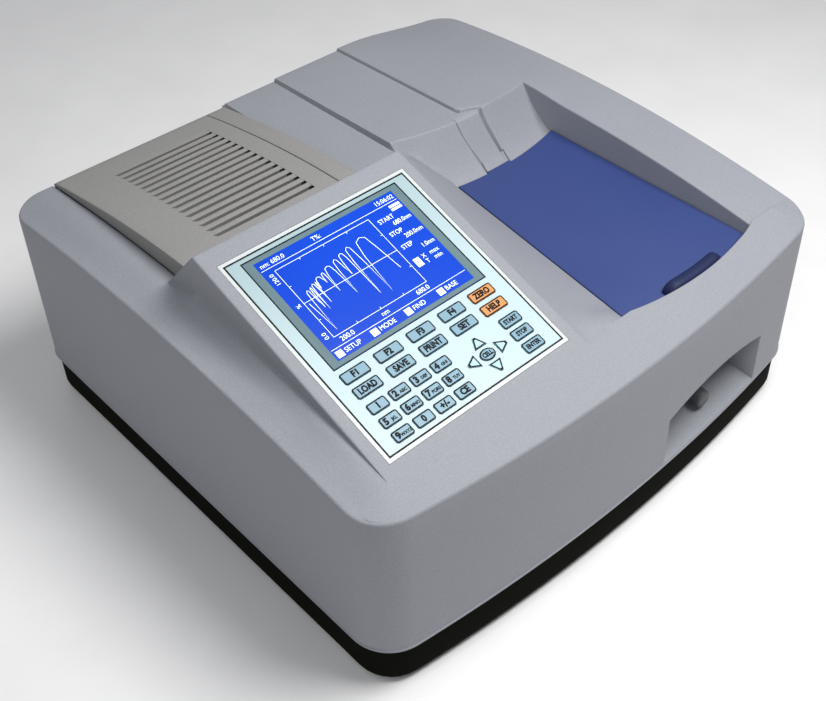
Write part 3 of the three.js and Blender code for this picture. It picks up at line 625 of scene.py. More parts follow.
# A segment of the grid: its limits, its zone, how many steps it has, and how soft its ends are. A limit is
# a number, or a function of the place along the other axis. A wall is two segments of different zones that
# meet at the same place. Rows have two limits for the left part of the top and two for the right part.
Segment = namedtuple("Segment", "limits zone steps soft_start soft_end")
COLUMNS = [
    Segment((-GRID_X, WEDGE_LEFT), "margin", 10, 0, 3.0),
    Segment((WEDGE_LEFT, -183), "shoulder", 2, 1.6, 0),
    Segment((-183, KEYPAD_X[0]), "seat", 1, 0, 0),
    Segment((KEYPAD_X[0], -28.6), "seat", 20, 0, 0),
    Segment((-28.6, -28.0), "seat", 1, 0, 0),
    Segment((-28.0, KEYPAD_X[1]), "strip", 1, 0, 0),
    Segment((KEYPAD_X[1], WEDGE_RIGHT), "strip", 3, 0, 0),
    Segment((WEDGE_RIGHT, lid_foot_x), "ruled", 32, 1.5, 0),
    Segment((lid_foot_x, after_foot_x), "ruled", 3, 0, 0),
    Segment((after_foot_x, TUB_X[0]), "ruled", 9, 0, 0),
    Segment((TUB_X[0], groove_a0), "ruled", 6, 0, 0),
    Segment((groove_a0, groove_a1), "ruled", 3, 0, 0),
    Segment((groove_a1, rib_b0), "ruled", 6, 0, 0),
    Segment((rib_b0, rib_b1), "ruled", 3, 0, 0),
    Segment((rib_b1, TUB_X[1]), "ruled", 14, 0, 0),
    Segment((TUB_X[1], WELL_RIGHT), "ruled", 3, 0, 1.0),
    Segment((WELL_RIGHT, GRID_X), "right", 14, 1.4, 0),
]
ROWS = [
    Segment((-GRID_Y, DECK_FRONT_Y, -GRID_Y, well_front_y), "front", 12, 0, 1.4),
    Segment((DECK_FRONT_Y, KEYPAD_Y[0], well_front_y, TUB_Y[0]), "mid", 4, 1.0, 0),
    Segment((*KEYPAD_Y, *TUB_Y), "mid", 24, 0, 0),
    Segment((KEYPAD_Y[1], WEDGE_BACK_Y, TUB_Y[1], ramp_foot_y), "mid", 4, 0, 0),
    Segment((WEDGE_BACK_Y, 30, ramp_foot_y, slot_end_y), "mid", 10, 1.5, 0),
    Segment((30, 66, slot_end_y, ramp_crest_y), "mid", 22, 0, 0),
    Segment((66, 84, ramp_crest_y, 84), "mid", 10, 2.4, 0),
    Segment((84, GRID_Y, 84, GRID_Y), "mid", 24, 0, 0),
]
WALLS = {("margin", "shoulder"), ("ruled", "right"), ("front", "mid")}


def expand(segments):
    """The grid lines, each as its segment, the share along it and its softness."""
    lines = []
    for before, segment, after in zip([None] + segments, segments, segments[1:] + [None]):
        shared_start = before and (before.zone, segment.zone) not in WALLS
        shared_end = after and (segment.zone, after.zone) not in WALLS
        for step in range(1 if shared_start else 0, segment.steps + 1):
            soft = 0
            if step == 0:
                soft = segment.soft_start
            elif step == segment.steps:
                soft = after.soft_start if shared_end else segment.soft_end
            lines.append((segment, step / segment.steps, soft))
    return lines


def plan_position(x, y):
    """Rounds the plan's corners and bows and leans its front, for points of the straight grid."""
    side = -1 if x < 0 else 1
    radius = (FRONT_CORNER_R if y < 0 else REAR_CORNER_R) - CREASE_R
    end = -1 if y < 0 else 1
    a = (abs(x) - (GRID_X - radius)) / radius
    b = (abs(y) - (GRID_Y - radius)) / radius
    if a > 0 and b > 0:
        x = side * (GRID_X - radius + radius * a * math.sqrt(1 - b * b / 2))
        y = end * (GRID_Y - radius + radius * b * math.sqrt(1 - a * a / 2))
    share = min(1, max(0, (DECK_FRONT_Y - y) / 40))
    lean = FRONT_LEAN * (crease_z(y) - CASING_Z) / (DECK_Z - CASING_Z) * -y / HALF_D
    return x, y + share * (FRONT_BOW * (x / HALF_W) ** 2 + lean)


def between_limits(start, end, place, share):
    start, end = (limit(place) if callable(limit) else limit for limit in (start, end))
    return mix(start, end, share)


def control_grid():
    """Every point of the straight grid, and the softness of its columns and its rows."""
    column_lines, row_lines = expand(COLUMNS), expand(ROWS)
    grid = np.zeros((len(row_lines), len(column_lines), 3))
    for j, (row, row_share, _) in enumerate(row_lines):
        left = mix(*row.limits[:2], row_share)
        for i, (column, column_share, _) in enumerate(column_lines):
            y = left
            for _ in range(6):
                x = between_limits(*column.limits, y, column_share)
                right = between_limits(*row.limits[2:], x, row_share)
                y = mix(left, right, smooth((x - WEDGE_RIGHT) / 30))
            px, py = plan_position(x, y)
            grid[j, i] = (px, py, top_z(px, py, column.zone, row.zone))
    return grid, [line[2] for line in column_lines], [line[2] for line in row_lines]


def round_along(grid, softness, steps=4):
    """Replaces each soft grid line by a short curve across it. The second axis of the grid is rounded."""
    out = []
    for i, soft in enumerate(softness):
        here = grid[:, i]
        if not soft or i in (0, grid.shape[1] - 1):
            out.append(here[:, None])
            continue
        back, ahead = grid[:, i - 1] - here, grid[:, i + 1] - here
        back_length = np.linalg.norm(back, axis=1, keepdims=True)
        ahead_length = np.linalg.norm(ahead, axis=1, keepdims=True)
        reach = np.minimum(soft, 0.45 * np.minimum(back_length, ahead_length))
        start = here + back / np.maximum(back_length, 1e-9) * reach
        end = here + ahead / np.maximum(ahead_length, 1e-9) * reach
        t = np.linspace(0, 1, steps)[None, :, None]
        out.append((1 - t) ** 2 * start[:, None] + 2 * t * (1 - t) * here[:, None] + t ** 2 * end[:, None])
    return np.concatenate(out, axis=1)


def outline_curve(inset, spacing=1.5):
    """Plan outline of the casing as dense points with outward normals."""
    corner_x = HALF_W - FRONT_CORNER_R
    lean = math.atan(2 * FRONT_BOW * corner_x / HALF_W ** 2)
    bow = lambda x: -HALF_D + FRONT_BOW * (x / HALF_W) ** 2
    tangent_x = corner_x + FRONT_CORNER_R * math.sin(lean)
    corner_y = bow(tangent_x) + FRONT_CORNER_R * math.cos(lean)
    rear_x, rear_y = HALF_W - REAR_CORNER_R, HALF_D - REAR_CORNER_R
    edge = []

    def arc(cx, cy, radius, start, end):
        count = max(6, int(abs(end - start) * radius / spacing))
        for k in range(count + 1):
            angle = mix(start, end, k / count)
            nx, ny = math.cos(angle), math.sin(angle)
            edge.append((cx + radius * nx, cy + radius * ny, nx, ny))

    def line(x0, y0, x1, y1, nx, ny):
        count = int(math.hypot(x1 - x0, y1 - y0) / spacing)
        for k in range(1, count):
            edge.append((mix(x0, x1, k / count), mix(y0, y1, k / count), nx, ny))

    count = int(2 * tangent_x / spacing)
    for k in range(count + 1):
        x = mix(-tangent_x, tangent_x, k / count)
        slope = 2 * FRONT_BOW * x / HALF_W ** 2
        length = math.hypot(1, slope)
        edge.append((x, bow(x), slope / length, -1 / length))
    quarter = math.pi / 2
    arc(corner_x, corner_y, FRONT_CORNER_R, -quarter + lean, 0)
    line(HALF_W, corner_y, HALF_W, rear_y, 1, 0)
    arc(rear_x, rear_y, REAR_CORNER_R, 0, quarter)
    line(rear_x, HALF_D, -rear_x, HALF_D, 0, 1)
    arc(-rear_x, rear_y, REAR_CORNER_R, quarter, 2 * quarter)
    line(-HALF_W, rear_y, -HALF_W, corner_y, -1, 0)
    arc(-corner_x, corner_y, FRONT_CORNER_R, 2 * quarter, 3 * quarter - lean)
    places, normals = np.hsplit(np.array(edge), 2)
    return places - inset * normals, normals


def leaned(x, y, z):
    return (x, y + FRONT_LEAN * (z - CASING_Z) / (DECK_Z - CASING_Z) * max(0, -y / HALF_D), z)


def nearest_on(curve, place):
    """The segment of a closed curve nearest to a place, as its two ends and the share along it."""
    k = int(np.argmin(np.sum((curve - place) ** 2, axis=1)))
    found = []
    for a, b in ((k - 1, k), (k, (k + 1) % len(curve))):
        run = curve[b] - curve[a]
        share = float(np.clip(np.dot(place - curve[a], run) / max(np.dot(run, run), 1e-9), 0, 1))
        found.append((float(np.sum((curve[a] + run * share - place) ** 2)), a, b, share))
    return min(found)[1:]


def wall_rings(boundary):
    """Rings from the top's edge down the walls to the casing's lower rim, which has a small lip."""
    points, normals = outline_curve(CREASE_R)
    leaned_points = np.array([leaned(x, y, crease_z(y))[:2] for x, y in points])
    nearest = [nearest_on(leaned_points, b[:2]) for b in boundary]
    rim_z = CASING_Z + 2.2
    turns = [math.radians(angle) for angle in (0, 22.5, 45, 67.5, 90)]
    # Each ring's distance out from the points, its share of the wall's height, and its rise over that
    profile = [(CREASE_R * math.sin(a), 1, CREASE_R * math.cos(a)) for a in turns]
    profile += [(CREASE_R, share, 0) for share in (0.82, 0.64, 0.46, 0.28, 0.12, 0)]
    profile += [(CREASE_R + out, 0, -drop) for out, drop in ((0.7, 0.7), (0.7, 1.7), (0.1, 2.2), (-0.9, 2.2))]
    rings = []
    for out, share, rise in profile:
        ring = []
        for b, (start, end, along) in zip(boundary, nearest):
            x, y = mix(points[start], points[end], along) + out * mix(normals[start], normals[end], along)
            ring.append(leaned(x, y, mix(rim_z, b[2] - CREASE_R, share) + rise))
        rings.append(ring)
    return rings


# ---- openings cut into the shell
def inside(value, limits):
    return limits[0] < value < limits[1]


def centre(face):
    return face.calc_center_median() / MM


def cut_planes(bm, faces, planes):
    """Splits a patch of faces along planes, each a point in millimetres and a normal; returns the patch."""
    mark_key = bm.faces.layers.int["patch"]
    for point, normal in planes:
        edges = {e for f in faces for e in f.edges}
        verts = {v for f in faces for v in f.verts}
        for f in bm.faces:
            f[mark_key] = 0
        for f in faces:
            f[mark_key] = 1
        bmesh.ops.bisect_plane(
            bm, geom=list(faces) + list(edges) + list(verts), dist=1e-7,
            plane_co=Vector(point) * MM, plane_no=Vector(normal),
        )
        faces = [f for f in bm.faces if f[mark_key] == 1]
    return faces


def wall_faces(bm, side, x0, x1, z0, z1):
    """Faces of the front (-1) or rear (1) wall whose middle is in the given window."""
    chosen = []
    for f in bm.faces:
        c = centre(f)
        if c.y * side > 150 and f.normal.y * side > 0.6 and x0 < c.x < x1 and z0 < c.z < z1:
            chosen.append(f)
    return chosen


ROD_X, ROD_Z = 100, 55      # axis of the pull rod
RECESS = {"x0": 39, "x1": 159, "z0": 40.8, "side": 84, "crown": 95, "back_y": -172}


def recess_top_z(x):
    t = (x - RECESS["x0"]) / (RECESS["x1"] - RECESS["x0"])
    return mix(RECESS["side"], RECESS["crown"], 1 - (2 * t - 1) ** 2)


def open_recess(bm):
    """Cuts the arched opening in the front wall and returns the edges round it."""
    x0, x1, z0 = RECESS["x0"], RECESS["x1"], RECESS["z0"]
    steps = 16
    faces = wall_faces(bm, -1, x0 - 20, x1 + 20, 30, 125)
    xs = [mix(x0, x1, k / steps) for k in range(steps + 1)]
    planes = [((x, 0, 0), (1, 0, 0)) for x in xs] + [((0, 0, z0), (0, 0, 1))]
    faces = cut_planes(bm, faces, planes)
    for a, b in zip(xs, xs[1:]):
        za, zb = recess_top_z(a), recess_top_z(b)
        strip = [f for f in faces if a < centre(f).x < b]
        others = [f for f in faces if f not in strip]
        normal = Vector((za - zb, 0, b - a)).normalized()
        faces = others + cut_planes(bm, strip, [((a, 0, za), normal)])
    gone = []
    for f in faces:
        c = centre(f)
        if x0 < c.x < x1 and z0 < c.z < recess_top_z(c.x) - 0.01:
            gone.append(f)
    rim = {e for f in gone for e in f.edges if any(g not in gone for g in e.link_faces)}
    bmesh.ops.delete(bm, geom=gone, context="FACES")
    return [e for e in rim if e.is_valid]


def cut_recess(bm):
    """Opens the arched pocket and moulds its sides, floor and back into the shell."""
    rim = open_recess(bm)
    rim_verts = {v for e in rim for v in e.verts}
    made = bmesh.ops.extrude_edge_only(bm, edges=rim)["geom"]
    for v in made:
        if not isinstance(v, bmesh.types.BMVert):
            continue
        x, _, z = v.co / MM
        right = max(0, (x - ROD_X) / (RECESS["x1"] - ROD_X))
        left = max(0, (ROD_X - x) / (ROD_X - RECESS["x0"]))
        floor = max(0, 1 - (z - RECESS["z0"]) / 30)
        back = RECESS["back_y"] - 1.5 * floor
        v.co = Vector((x - 6 * right + 6 * left, back, z + 9 * floor - 2 * (1 - floor))) * MM
    edges = [g for g in made if isinstance(g, bmesh.types.BMEdge) and g.is_boundary]
    bmesh.ops.contextual_create(bm, geom=edges)
    soft = []
    for e in bm.edges:
        on_rim = e.verts[0] in rim_verts and e.verts[1] in rim_verts
        if on_rim and len(e.link_faces) == 2 and e.calc_face_angle(0) > math.radians(40):
            soft.append(e)
    bmesh.ops.bevel(
        bm, geom=soft, offset=1.0 * MM, segments=3, affect="EDGES", profile=0.5, clamp_overlap=True,
    )


FAN = (-120, 100)
INLET = (150, 86)


def cut_rear(bm):
    """Slots over the fan and the opening for the mains inlet."""
    slots = [(FAN[0] - 32, FAN[0] + 32, FAN[1] + 9 * k - 2.5, FAN[1] + 9 * k + 2.5) for k in range(-3, 4)]
    hole = (INLET[0] - 15.3, INLET[0] + 15.3, INLET[1] - 30.3, INLET[1] + 30.3)
    for group in (slots, [hole]):
        low_x, high_x = min(w[0] for w in group), max(w[1] for w in group)
        faces = wall_faces(bm, 1, low_x - 30, high_x + 30, 30, 160)
        planes = [((low_x, 0, 0), (1, 0, 0)), ((high_x, 0, 0), (1, 0, 0))]
        for _, _, z0, z1 in group:
            planes += [((0, 0, z0), (0, 0, 1)), ((0, 0, z1), (0, 0, 1))]
        faces = cut_planes(bm, faces, planes)
        gone = []
        for f in faces:
            c = centre(f)
            if any(x0 < c.x < x1 and z0 < c.z < z1 for x0, x1, z0, z1 in group):
                gone.append(f)
        bmesh.ops.delete(bm, geom=gone, context="FACES")


def top_windows():
    """Openings in the top, as tests of a face's middle: keypad, lamps, sample compartment and arm slots."""
    def keypad(c):
        above = (c.z - LCD[2]) * math.cos(SLOPE) - (c.y - LCD[1]) * math.sin(SLOPE)
        return abs(above) < 0.5 and inside(c.x, KEYPAD_X) and inside(c.y, KEYPAD_Y)

    def lamps(c):
        return inside(c.x, (-168, -62)) and inside(c.y, (72, 190))

    def compartment(c):
        return inside(c.x, TUB_X) and inside(c.y, TUB_Y)

    def slots(c):
        return inside(c.y, (TUB_Y[1], SLOT_END_Y)) and (inside(c.x, SLOT_A) or inside(c.x, SLOT_B))

    return [keypad, lamps, compartment, slots]


def casing_surface():
    """Points and faces of the top and the walls below it, as one open surface."""
    grid, column_soft, row_soft = control_grid()
    grid = round_along(grid, column_soft)
    grid = round_along(grid.transpose(1, 0, 2), row_soft).transpose(1, 0, 2)
    nj, ni = grid.shape[:2]
    flat = grid.reshape(-1, 3)
    loop = list(range(ni))
    loop += [j * ni + ni - 1 for j in range(1, nj)]
    loop += [(nj - 1) * ni + i for i in range(ni - 2, -1, -1)]
    loop += [j * ni for j in range(nj - 2, 0, -1)]
    rings = wall_rings([flat[k] for k in loop])
    verts = [tuple(p) for p in flat]
    for k, p in zip(loop, rings[0]):
        verts[k] = p
    faces = grid_faces(ni, nj)
    before = loop
    for ring in rings[1:]:
        now = list(range(len(verts), len(verts) + len(ring)))
        verts += ring
        for i in range(len(ring)):
            n = (i + 1) % len(ring)
            faces.append((before[i], now[i], now[n], before[n]))
        before = now
    return verts, faces


def make_casing():
    """The shell: its surface is made first, then opened, then given its thickness."""
    mesh = new_mesh("casing_shell", *casing_surface())
    with editing(mesh) as bm:
        bm.faces.layers.int.new("patch")
        clean(bm, 0.03, 0.01)
        turn_up(bm)
        bm.normal_update()
        cut_recess(bm)
        cut_rear(bm)
        gone = [f for f in bm.faces if f.normal.z > 0.2 and any(test(centre(f)) for test in top_windows())]
        bmesh.ops.delete(bm, geom=gone, context="FACES")
    casing = finish_piece("casing_shell", mesh, CASING, "root", ["top_casing"], 40)
    thicken(casing, SHELL, 40)


# ---- base pan
def pan_ring(inset, z):
    points, _ = outline_curve(inset, spacing=6)
    return [leaned(x, y, z) for x, y in points]


def make_pan():
    """A drafted tray with a rounded foot edge and a ledge that the casing stands round."""
    inner = [(9.0, 8.6), (5.6, 11), (5.2, 37.7)]
    outer = [(2.6, 37.7), (2.2, 37.2), (2.2, 33), (2.5, 9), (3.0, 6.6), (4.0, 5.5), (6.0, 5.0)]
    rings = [pan_ring(inset, z) for inset, z in inner + outer]
    piece("base_tray", loft(rings), PAN, "root", ["base_pan"])


# ---- lamp cover and its trim
LOUVRE = {"count": 16, "x0": -148, "x1": -62, "y0": 49, "y1": 173}
LOUVRE_PITCH = (LOUVRE["y1"] - LOUVRE["y0"]) / (LOUVRE["count"] - 1)
SLAT = ((0, 0.05, 0.34, 0.44, 1), (0, 1, 1, 0.1, 0))   # shares of the pitch, and of the full depth there
BLACK_SHADE_END = 3.2                 # width of the black shade painted at a louvre's right end, where its opening is deepest
SHEET = 1.6                 # thickness of the cover and its trim


def louvre_share(y):
    """Share of the louvre pitch reached at y; None outside the louvres."""
    along = (y - LOUVRE["y0"]) / LOUVRE_PITCH
    if not 0 <= along < LOUVRE["count"]:
        return None
    return along - math.floor(along)


def louvre_depth(x, y):
    """Each slat starts at the cover's surface and dips to its rear, most at its right end."""
    share = louvre_share(y)
    if share is None or not LOUVRE["x0"] <= x <= LOUVRE["x1"]:
        return 0.0
    reach = mix(2.0, 4.4, (x - LOUVRE["x0"]) / (LOUVRE["x1"] - LOUVRE["x0"]))
    return reach * smooth((x - LOUVRE["x0"]) / 4) * float(np.interp(share, *SLAT))


def cover_front_y(z):
    """Where the cover's front edge meets the sloping back of the display housing."""
    return WEDGE_BACK_Y + (WEDGE_TOP_Z - z) / WEDGE_BACK_SLOPE + 0.5


def fitted_y(y, z):
    """Moves a point near the cover's front so that the front edge follows the housing's sloping back."""
    start = cover_front_y(z)
    settled = max(LOUVRE["y0"] - 0.01, start + 2)
    if y >= settled:
        return y
    return mix(start, settled, (y - COVER_FRONT) / (settled - COVER_FRONT))


def cover_sheet(name, line, ys, top, foot, stands_for):
    """A sheet of the cover: its line across, with each point's drop from the top to the foot, at every y."""
    verts = []
    for y in ys:
        rear_round = 1.5 * smooth((y - 205) / 3.5) ** 2
        for x, drop in line:
            z = mix(top(x, y) - rear_round, foot(x, y), drop)
            verts.append((x, fitted_y(y, z), z))
    ni, nj = len(line), len(ys)
    faces = grid_faces(ni, nj)
    rear = range((nj - 1) * ni, nj * ni)
    for x, y, z in [verts[k] for k in rear]:
        verts.append((x, y, min(z, crease_z(y) + 2)))
    for k in rear[:-1]:
        faces.append((k, k + 1, k + ni + 1, k + ni))
    sheet = piece(name, (verts, faces), COVER, "root", [stands_for], sharp=30)
    with editing(sheet.data) as bm:
        turn_up(bm)
    return sheet


def cover_ys():
    """Lines across the cover: close together over the louvres."""
    ys = [COVER_FRONT, 40, 44.5, LOUVRE["y0"] - 0.01]
    for k in range(LOUVRE["count"]):
        ys += [LOUVRE["y0"] + LOUVRE_PITCH * (k + s) for s in (0.001, 0.05, 0.34, 0.44, 0.7, 0.99)]
    return ys + [LOUVRE["y1"] + LOUVRE_PITCH, 184, 190, 196, 202, 206, 207.6, COVER_REAR]


def make_cover():
    edge = 0.02
    start, end = LOUVRE["x0"], LOUVRE["x1"]
    left, right = COVER_LEFT, COVER_SEAM - 0.3
    xs = [-172, -160, start - edge, start + edge, start + 2, start + 4, -130, -122, -108, -94, -80, -69]
    xs += [end - BLACK_SHADE_END, end - edge, end + edge, -54]
    line = [(left, 1.0), (left, 0.5), (left + 0.05, 0.12), (left + 0.5, 0.03), (left + 1.6, 0)]
    line += [(x, 0) for x in xs]
    line += [(right - 1.0, 0), (right - 0.25, 0.02), (right, 0.15), (right, 1.0)]

    def top(x, y):
        return cover_top_z(y) - louvre_depth(x, y)

    def foot(x, y):
        return crease_z(y) + 4.9 if x < -100 else cover_seat_z(y) + 1

    cover = cover_sheet("louvred_cover", line, cover_ys(), top, foot, "lamp_cover")
    shade_openings(cover)
    thicken(cover, SHEET, 30)


def shade_openings(cover):
    """Paints shade into the louvre openings: the face under each slat's front edge gets a dark painted-shade
    colour, and the right end of each opening is painted black shade.
    """
    cover.data.materials.append(MESH)
    cover.data.materials.append(BLACK)
    for face in cover.data.polygons:
        x, y = face.center.x / MM, face.center.y / MM
        share = louvre_share(y)
        if share is None or not LOUVRE["x0"] + 1 < x < LOUVRE["x1"] + 0.02:
            continue
        # painted black shade where each louvre opening is deepest, at its right end
        if x > LOUVRE["x1"] - BLACK_SHADE_END and SLAT[0][1] < share < SLAT[0][3]:
            face.material_index = 2
        # painted shade on the far wall of each louvre opening
        elif SLAT[0][2] < share < SLAT[0][3]:
            face.material_index = 1


def make_trim():
    left, right = COVER_SEAM + 0.3, COVER_RIGHT
    line = [(left, 1.0), (left, 0.15), (left + 0.25, 0.02), (left + 1.0, 0), (left + 6, 0), (left + 12, 0)]
    line += [(right - 1.6, 0), (right - 0.5, 0.03), (right - 0.05, 0.12), (right, 0.5), (right, 1.0)]
    ys = [COVER_FRONT, 40, 45, 50, 56, 64, 74, 86, 100, 115, 130, 145, 160, 175, 190, 202, 206, 207.6]

    def top(x, y):
        return cover_top_z(y)

    def foot(x, y):
        return deck_z(-24, y) + 0.1 if x > -36 else cover_seat_z(y) + 1

    trim = cover_sheet("cover_trim", line, ys + [COVER_REAR], top, foot, "lamp_cover_trim")
    thicken(trim, SHEET, 30)


# ---- display housing coordinates
PANEL_FRAME = Matrix.Translation(LCD) @ Matrix.Rotation(SLOPE, 4, "X")


def on_panel(u, v, n):
    return tuple(PANEL_FRAME @ Vector((u, v, n)))


def panel_loft(rings, capped=True):
    verts, faces = loft(rings, capped)
    return [on_panel(*p) for p in verts], faces


def ring_strip(outer, inner, n0, n1, inner_n=None):
    """A closed ring between two outlines with the same number of points, on the panel."""
    inner_n = n1 if inner_n is None else inner_n
    levels = ((outer, n0), (outer, n1), (inner, inner_n), (inner, n0), (outer, n0))
    return panel_loft([[(u, v, n) for u, v in outline] for outline, n in levels], capped=False)


def rectangle(u0, v0, u1, v1):
    return [(u0, v0), (u1, v0), (u1, v1), (u0, v1)]


def merge(parts):
    verts, faces = [], []
    for part_verts, part_faces in parts:
        start = len(verts)
        verts += list(part_verts)
        faces += [tuple(k + start for k in f) for f in part_faces]
    return verts, faces


def slab(points, n0, n1):
    """A flat outline raised between two heights over the panel."""
    return panel_loft([[(u, v, n) for u, v in points] for n in (n0, n1)])


def stroke(points, width, n0, n1):
    """A drawn line of constant width through points on the panel."""
    left, right = [], []
    for k, (u, v) in enumerate(points):
        a, b = points[max(0, k - 1)], points[min(len(points) - 1, k + 1)]
        du, dv = b[0] - a[0], b[1] - a[1]
        length = math.hypot(du, dv) or 1
        nu, nv = -dv / length * width / 2, du / length * width / 2
        left.append((u + nu, v + nv))
        right.append((u - nu, v - nv))
    rings = [[(*left[k], n0), (*right[k], n0), (*right[k], n1), (*left[k], n1)] for k in range(len(points))]
    return panel_loft(rings)


def lettering(text, u, v, height, n0, n1, align="CENTER", stretch=1.0, turn=0.0, bold=0.0):
    """Generic letters and numbers as a mesh on the panel, their height given in millimetres."""
    curve = bpy.data.curves.new("lettering", "FONT")
    curve.body = text
    curve.size = height * 1.38
    curve.align_x = align
    curve.align_y = "CENTER"
    curve.extrude = (n1 - n0) / 2
    curve.offset = bold
    curve.resolution_u = 3
    maker = put("lettering", curve)
    bpy.context.view_layer.update()
    mesh = maker.to_mesh()
    cos, sin = math.cos(turn), math.sin(turn)
    verts = []
    for p in mesh.vertices:
        x, y = p.co.x * stretch, p.co.y
        verts.append(on_panel(u + x * cos - y * sin, v + x * sin + y * cos, (n0 + n1) / 2 + p.co.z))
    faces = [tuple(f.vertices) for f in mesh.polygons]
    maker.to_mesh_clear()
    bpy.data.objects.remove(maker)
    bpy.data.curves.remove(curve)
    return verts, faces


# ---- keypad
KEY_ROWS = {"function": -55, "edit": -67, "digit1": -80.2, "digit2": -91.7, "digit3": -103.1}
KEY_COLUMNS = (-55.4, -28.1, -0.8, 26.5)
DIGIT_COLUMNS = (-58.4, -41, -23.6, -6.3)
SIDE_COLUMN = 54.5
PAD = {"u": 24.4, "v": -91.7, "reach_u": 12, "reach_v": 10.2}
KEY_TOP = 0.6


def key_list():
    """Every key: its name, place, size and legend, the small second legend last."""
    words = (("load", "LOAD"), ("save", "SAVE"), ("print", "PRINT"), ("set_wavelength", "SET"))
    wide = (20.3, 8.3)
    keys = []
    for k, (u, (name, word)) in enumerate(zip(KEY_COLUMNS, words), start=1):
        keys.append((f"f{k}", u, KEY_ROWS["function"], *wide, f"F{k}", ""))
        keys.append((name, u, KEY_ROWS["edit"], *wide, word, ""))
    keys.append(("zero", SIDE_COLUMN - 1, KEY_ROWS["function"], *wide, "ZERO", ""))
    keys.append(("help", SIDE_COLUMN - 1, KEY_ROWS["edit"], *wide, "HELP", ""))
    for k, word in enumerate(("start", "stop", "enter")):
        keys.append((word, SIDE_COLUMN + 1, -81 - 11 * k, 16.5, 8, word.upper(), ""))
    small = {"2": "ABC", "3": "DEF", "4": "GHI", "5": "JKL", "6": "MNO", "7": "PQRS", "8": "TUV", "9": "WXYZ"}
    rows_of_digits = (("1", "2", "3", "4"), ("5", "6", "7", "8"), ("9", "0", "sign", "ce"))
    for row, digits in zip(("digit1", "digit2", "digit3"), rows_of_digits):
        for u, digit in zip(DIGIT_COLUMNS, digits):
            word = {"sign": "+/-", "ce": "CE"}.get(digit, digit)
            keys.append((digit, u, KEY_ROWS[row], 14.3, 7.8, word, small.get(digit, "")))
    keys.append(("cell", PAD["u"], PAD["v"], 12, 8.4, "CELL", ""))
    for name, side in (("up", 1), ("down", -1)):
        keys.append((name, PAD["u"], PAD["v"] + side * PAD["reach_v"], 10, 7.5, "", ""))
    for name, side in (("left", -1), ("right", 1)):
        keys.append((name, PAD["u"] + side * (PAD["reach_u"] + 1), PAD["v"], 8, 9.5, "", ""))
    return keys


ARROWS = {"up": 0, "left": 90, "down": 180, "right": 270}   # each arrow key and the turn of its outline
ARROW_INSCRIBED = 2.7       # radius of the circle that the arrow outlines shrink towards


def key_outline(name, u, v, w, h, inset):
    """The key's outline, the same as the CAD key's, moved in all round."""
    half_w, half_h = w / 2 - inset, h / 2 - inset
    if name in ARROWS:
        turn = math.radians(ARROWS[name])
        base, tall = (w, h) if name in ("up", "down") else (h, w)
        share = 1 - inset / ARROW_INSCRIBED
        middle = ARROW_INSCRIBED - tall / 2
        corners = [(-base / 2, -tall / 2), (base / 2, -tall / 2), (1, tall / 2), (-1, tall / 2)]
        corners = [(a * share, middle + (b - middle) * share) for a, b in corners]
        cos, sin = math.cos(turn), math.sin(turn)
        return [(u + a * cos - b * sin, v + a * sin + b * cos) for a, b in corners]
    if name == "cell":
        angles = [k / 32 * 2 * math.pi for k in range(32)]
        return [(u + half_w * math.cos(a), v + half_h * math.sin(a)) for a in angles]
    points = []
    radius = max(0.3, 1.5 - inset)
    for sx, sy, start in ((1, 1, 0), (-1, 1, 90), (-1, -1, 180), (1, -1, 270)):
        for k in range(6):
            a = math.radians(start + 18 * k)
            across = sx * (half_w - radius) + radius * math.cos(a)
            points.append((u + across, v + sy * (half_h - radius) + radius * math.sin(a)))
    return points


def key_lettering(word, small, u, v, w):
    n0, n1 = KEY_TOP - 0.02, KEY_TOP + 0.05
    if small:
        main = lettering(word, u - w * 0.24, v, 4.4, n0, n1, bold=0.38)
        return [main, lettering(small, u + w * 0.17, v - 0.7, 2.2, n0, n1, stretch=0.95, bold=0.16)]
    if not word:
        return []
    size = {"START": 3.3, "STOP": 3.3, "ENTER": 3.3, "CELL": 3.2}.get(word, 4.4)
    tight = 0.85 if len(word) > 3 else 0.95
    return [lettering(word, u, v, size, n0, n1, stretch=tight, bold=0.34 if size > 4 else 0.26)]


def make_keys():
    """Colours on the CAD keys, and on each its outline and legend as one raised print."""
    for name, u, v, w, h, word, small in key_list():
        orange = name in ("zero", "help")
        colour = KEY_ORANGE if orange else KEY_BRIGHT if name in ARROWS else KEY_BLUE
        dress(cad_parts[f"key_{name}"], colour, 0.15)
        outer, inner = (key_outline(name, u, v, w, h, inset) for inset in (0.05, 0.9))
        outline = ring_strip(outer, inner, KEY_TOP - 0.05, KEY_TOP + 0.06)
        legend = merge([outline] + key_lettering(word, small, u, v, w))
        piece(f"legend_{name}", legend, INK, f"key_{name}", sharp=20)


def line_round(half_w, low, high, width):
    """A printed line round a rectangle on the panel."""
    edge = width / 2
    outer = rectangle(-half_w - edge, low - edge, half_w + edge, high + edge)
    inner = rectangle(-half_w + edge, low + edge, half_w - edge, high - edge)
    return ring_strip(outer, inner, -0.3, 0.06)


def make_panel_lines():
    border = line_round(FOIL_LINE_U, FOIL_LINE_LOW, FOIL_LINE_HIGH, 1.2)
    window = line_round(65.25, -46.55, 46.55, 0.7)
    piece("panel_lines", merge([border, window]), INK, "root", sharp=20)


# ---- display
SCREEN_U, SCREEN_V = 58.5, 42.7     # half the lit area
SCREEN_N = -0.4
GRAPH = {"left": -49.5, "right": 29, "low": -27.5, "high": 31.8}
TICK = 1.6
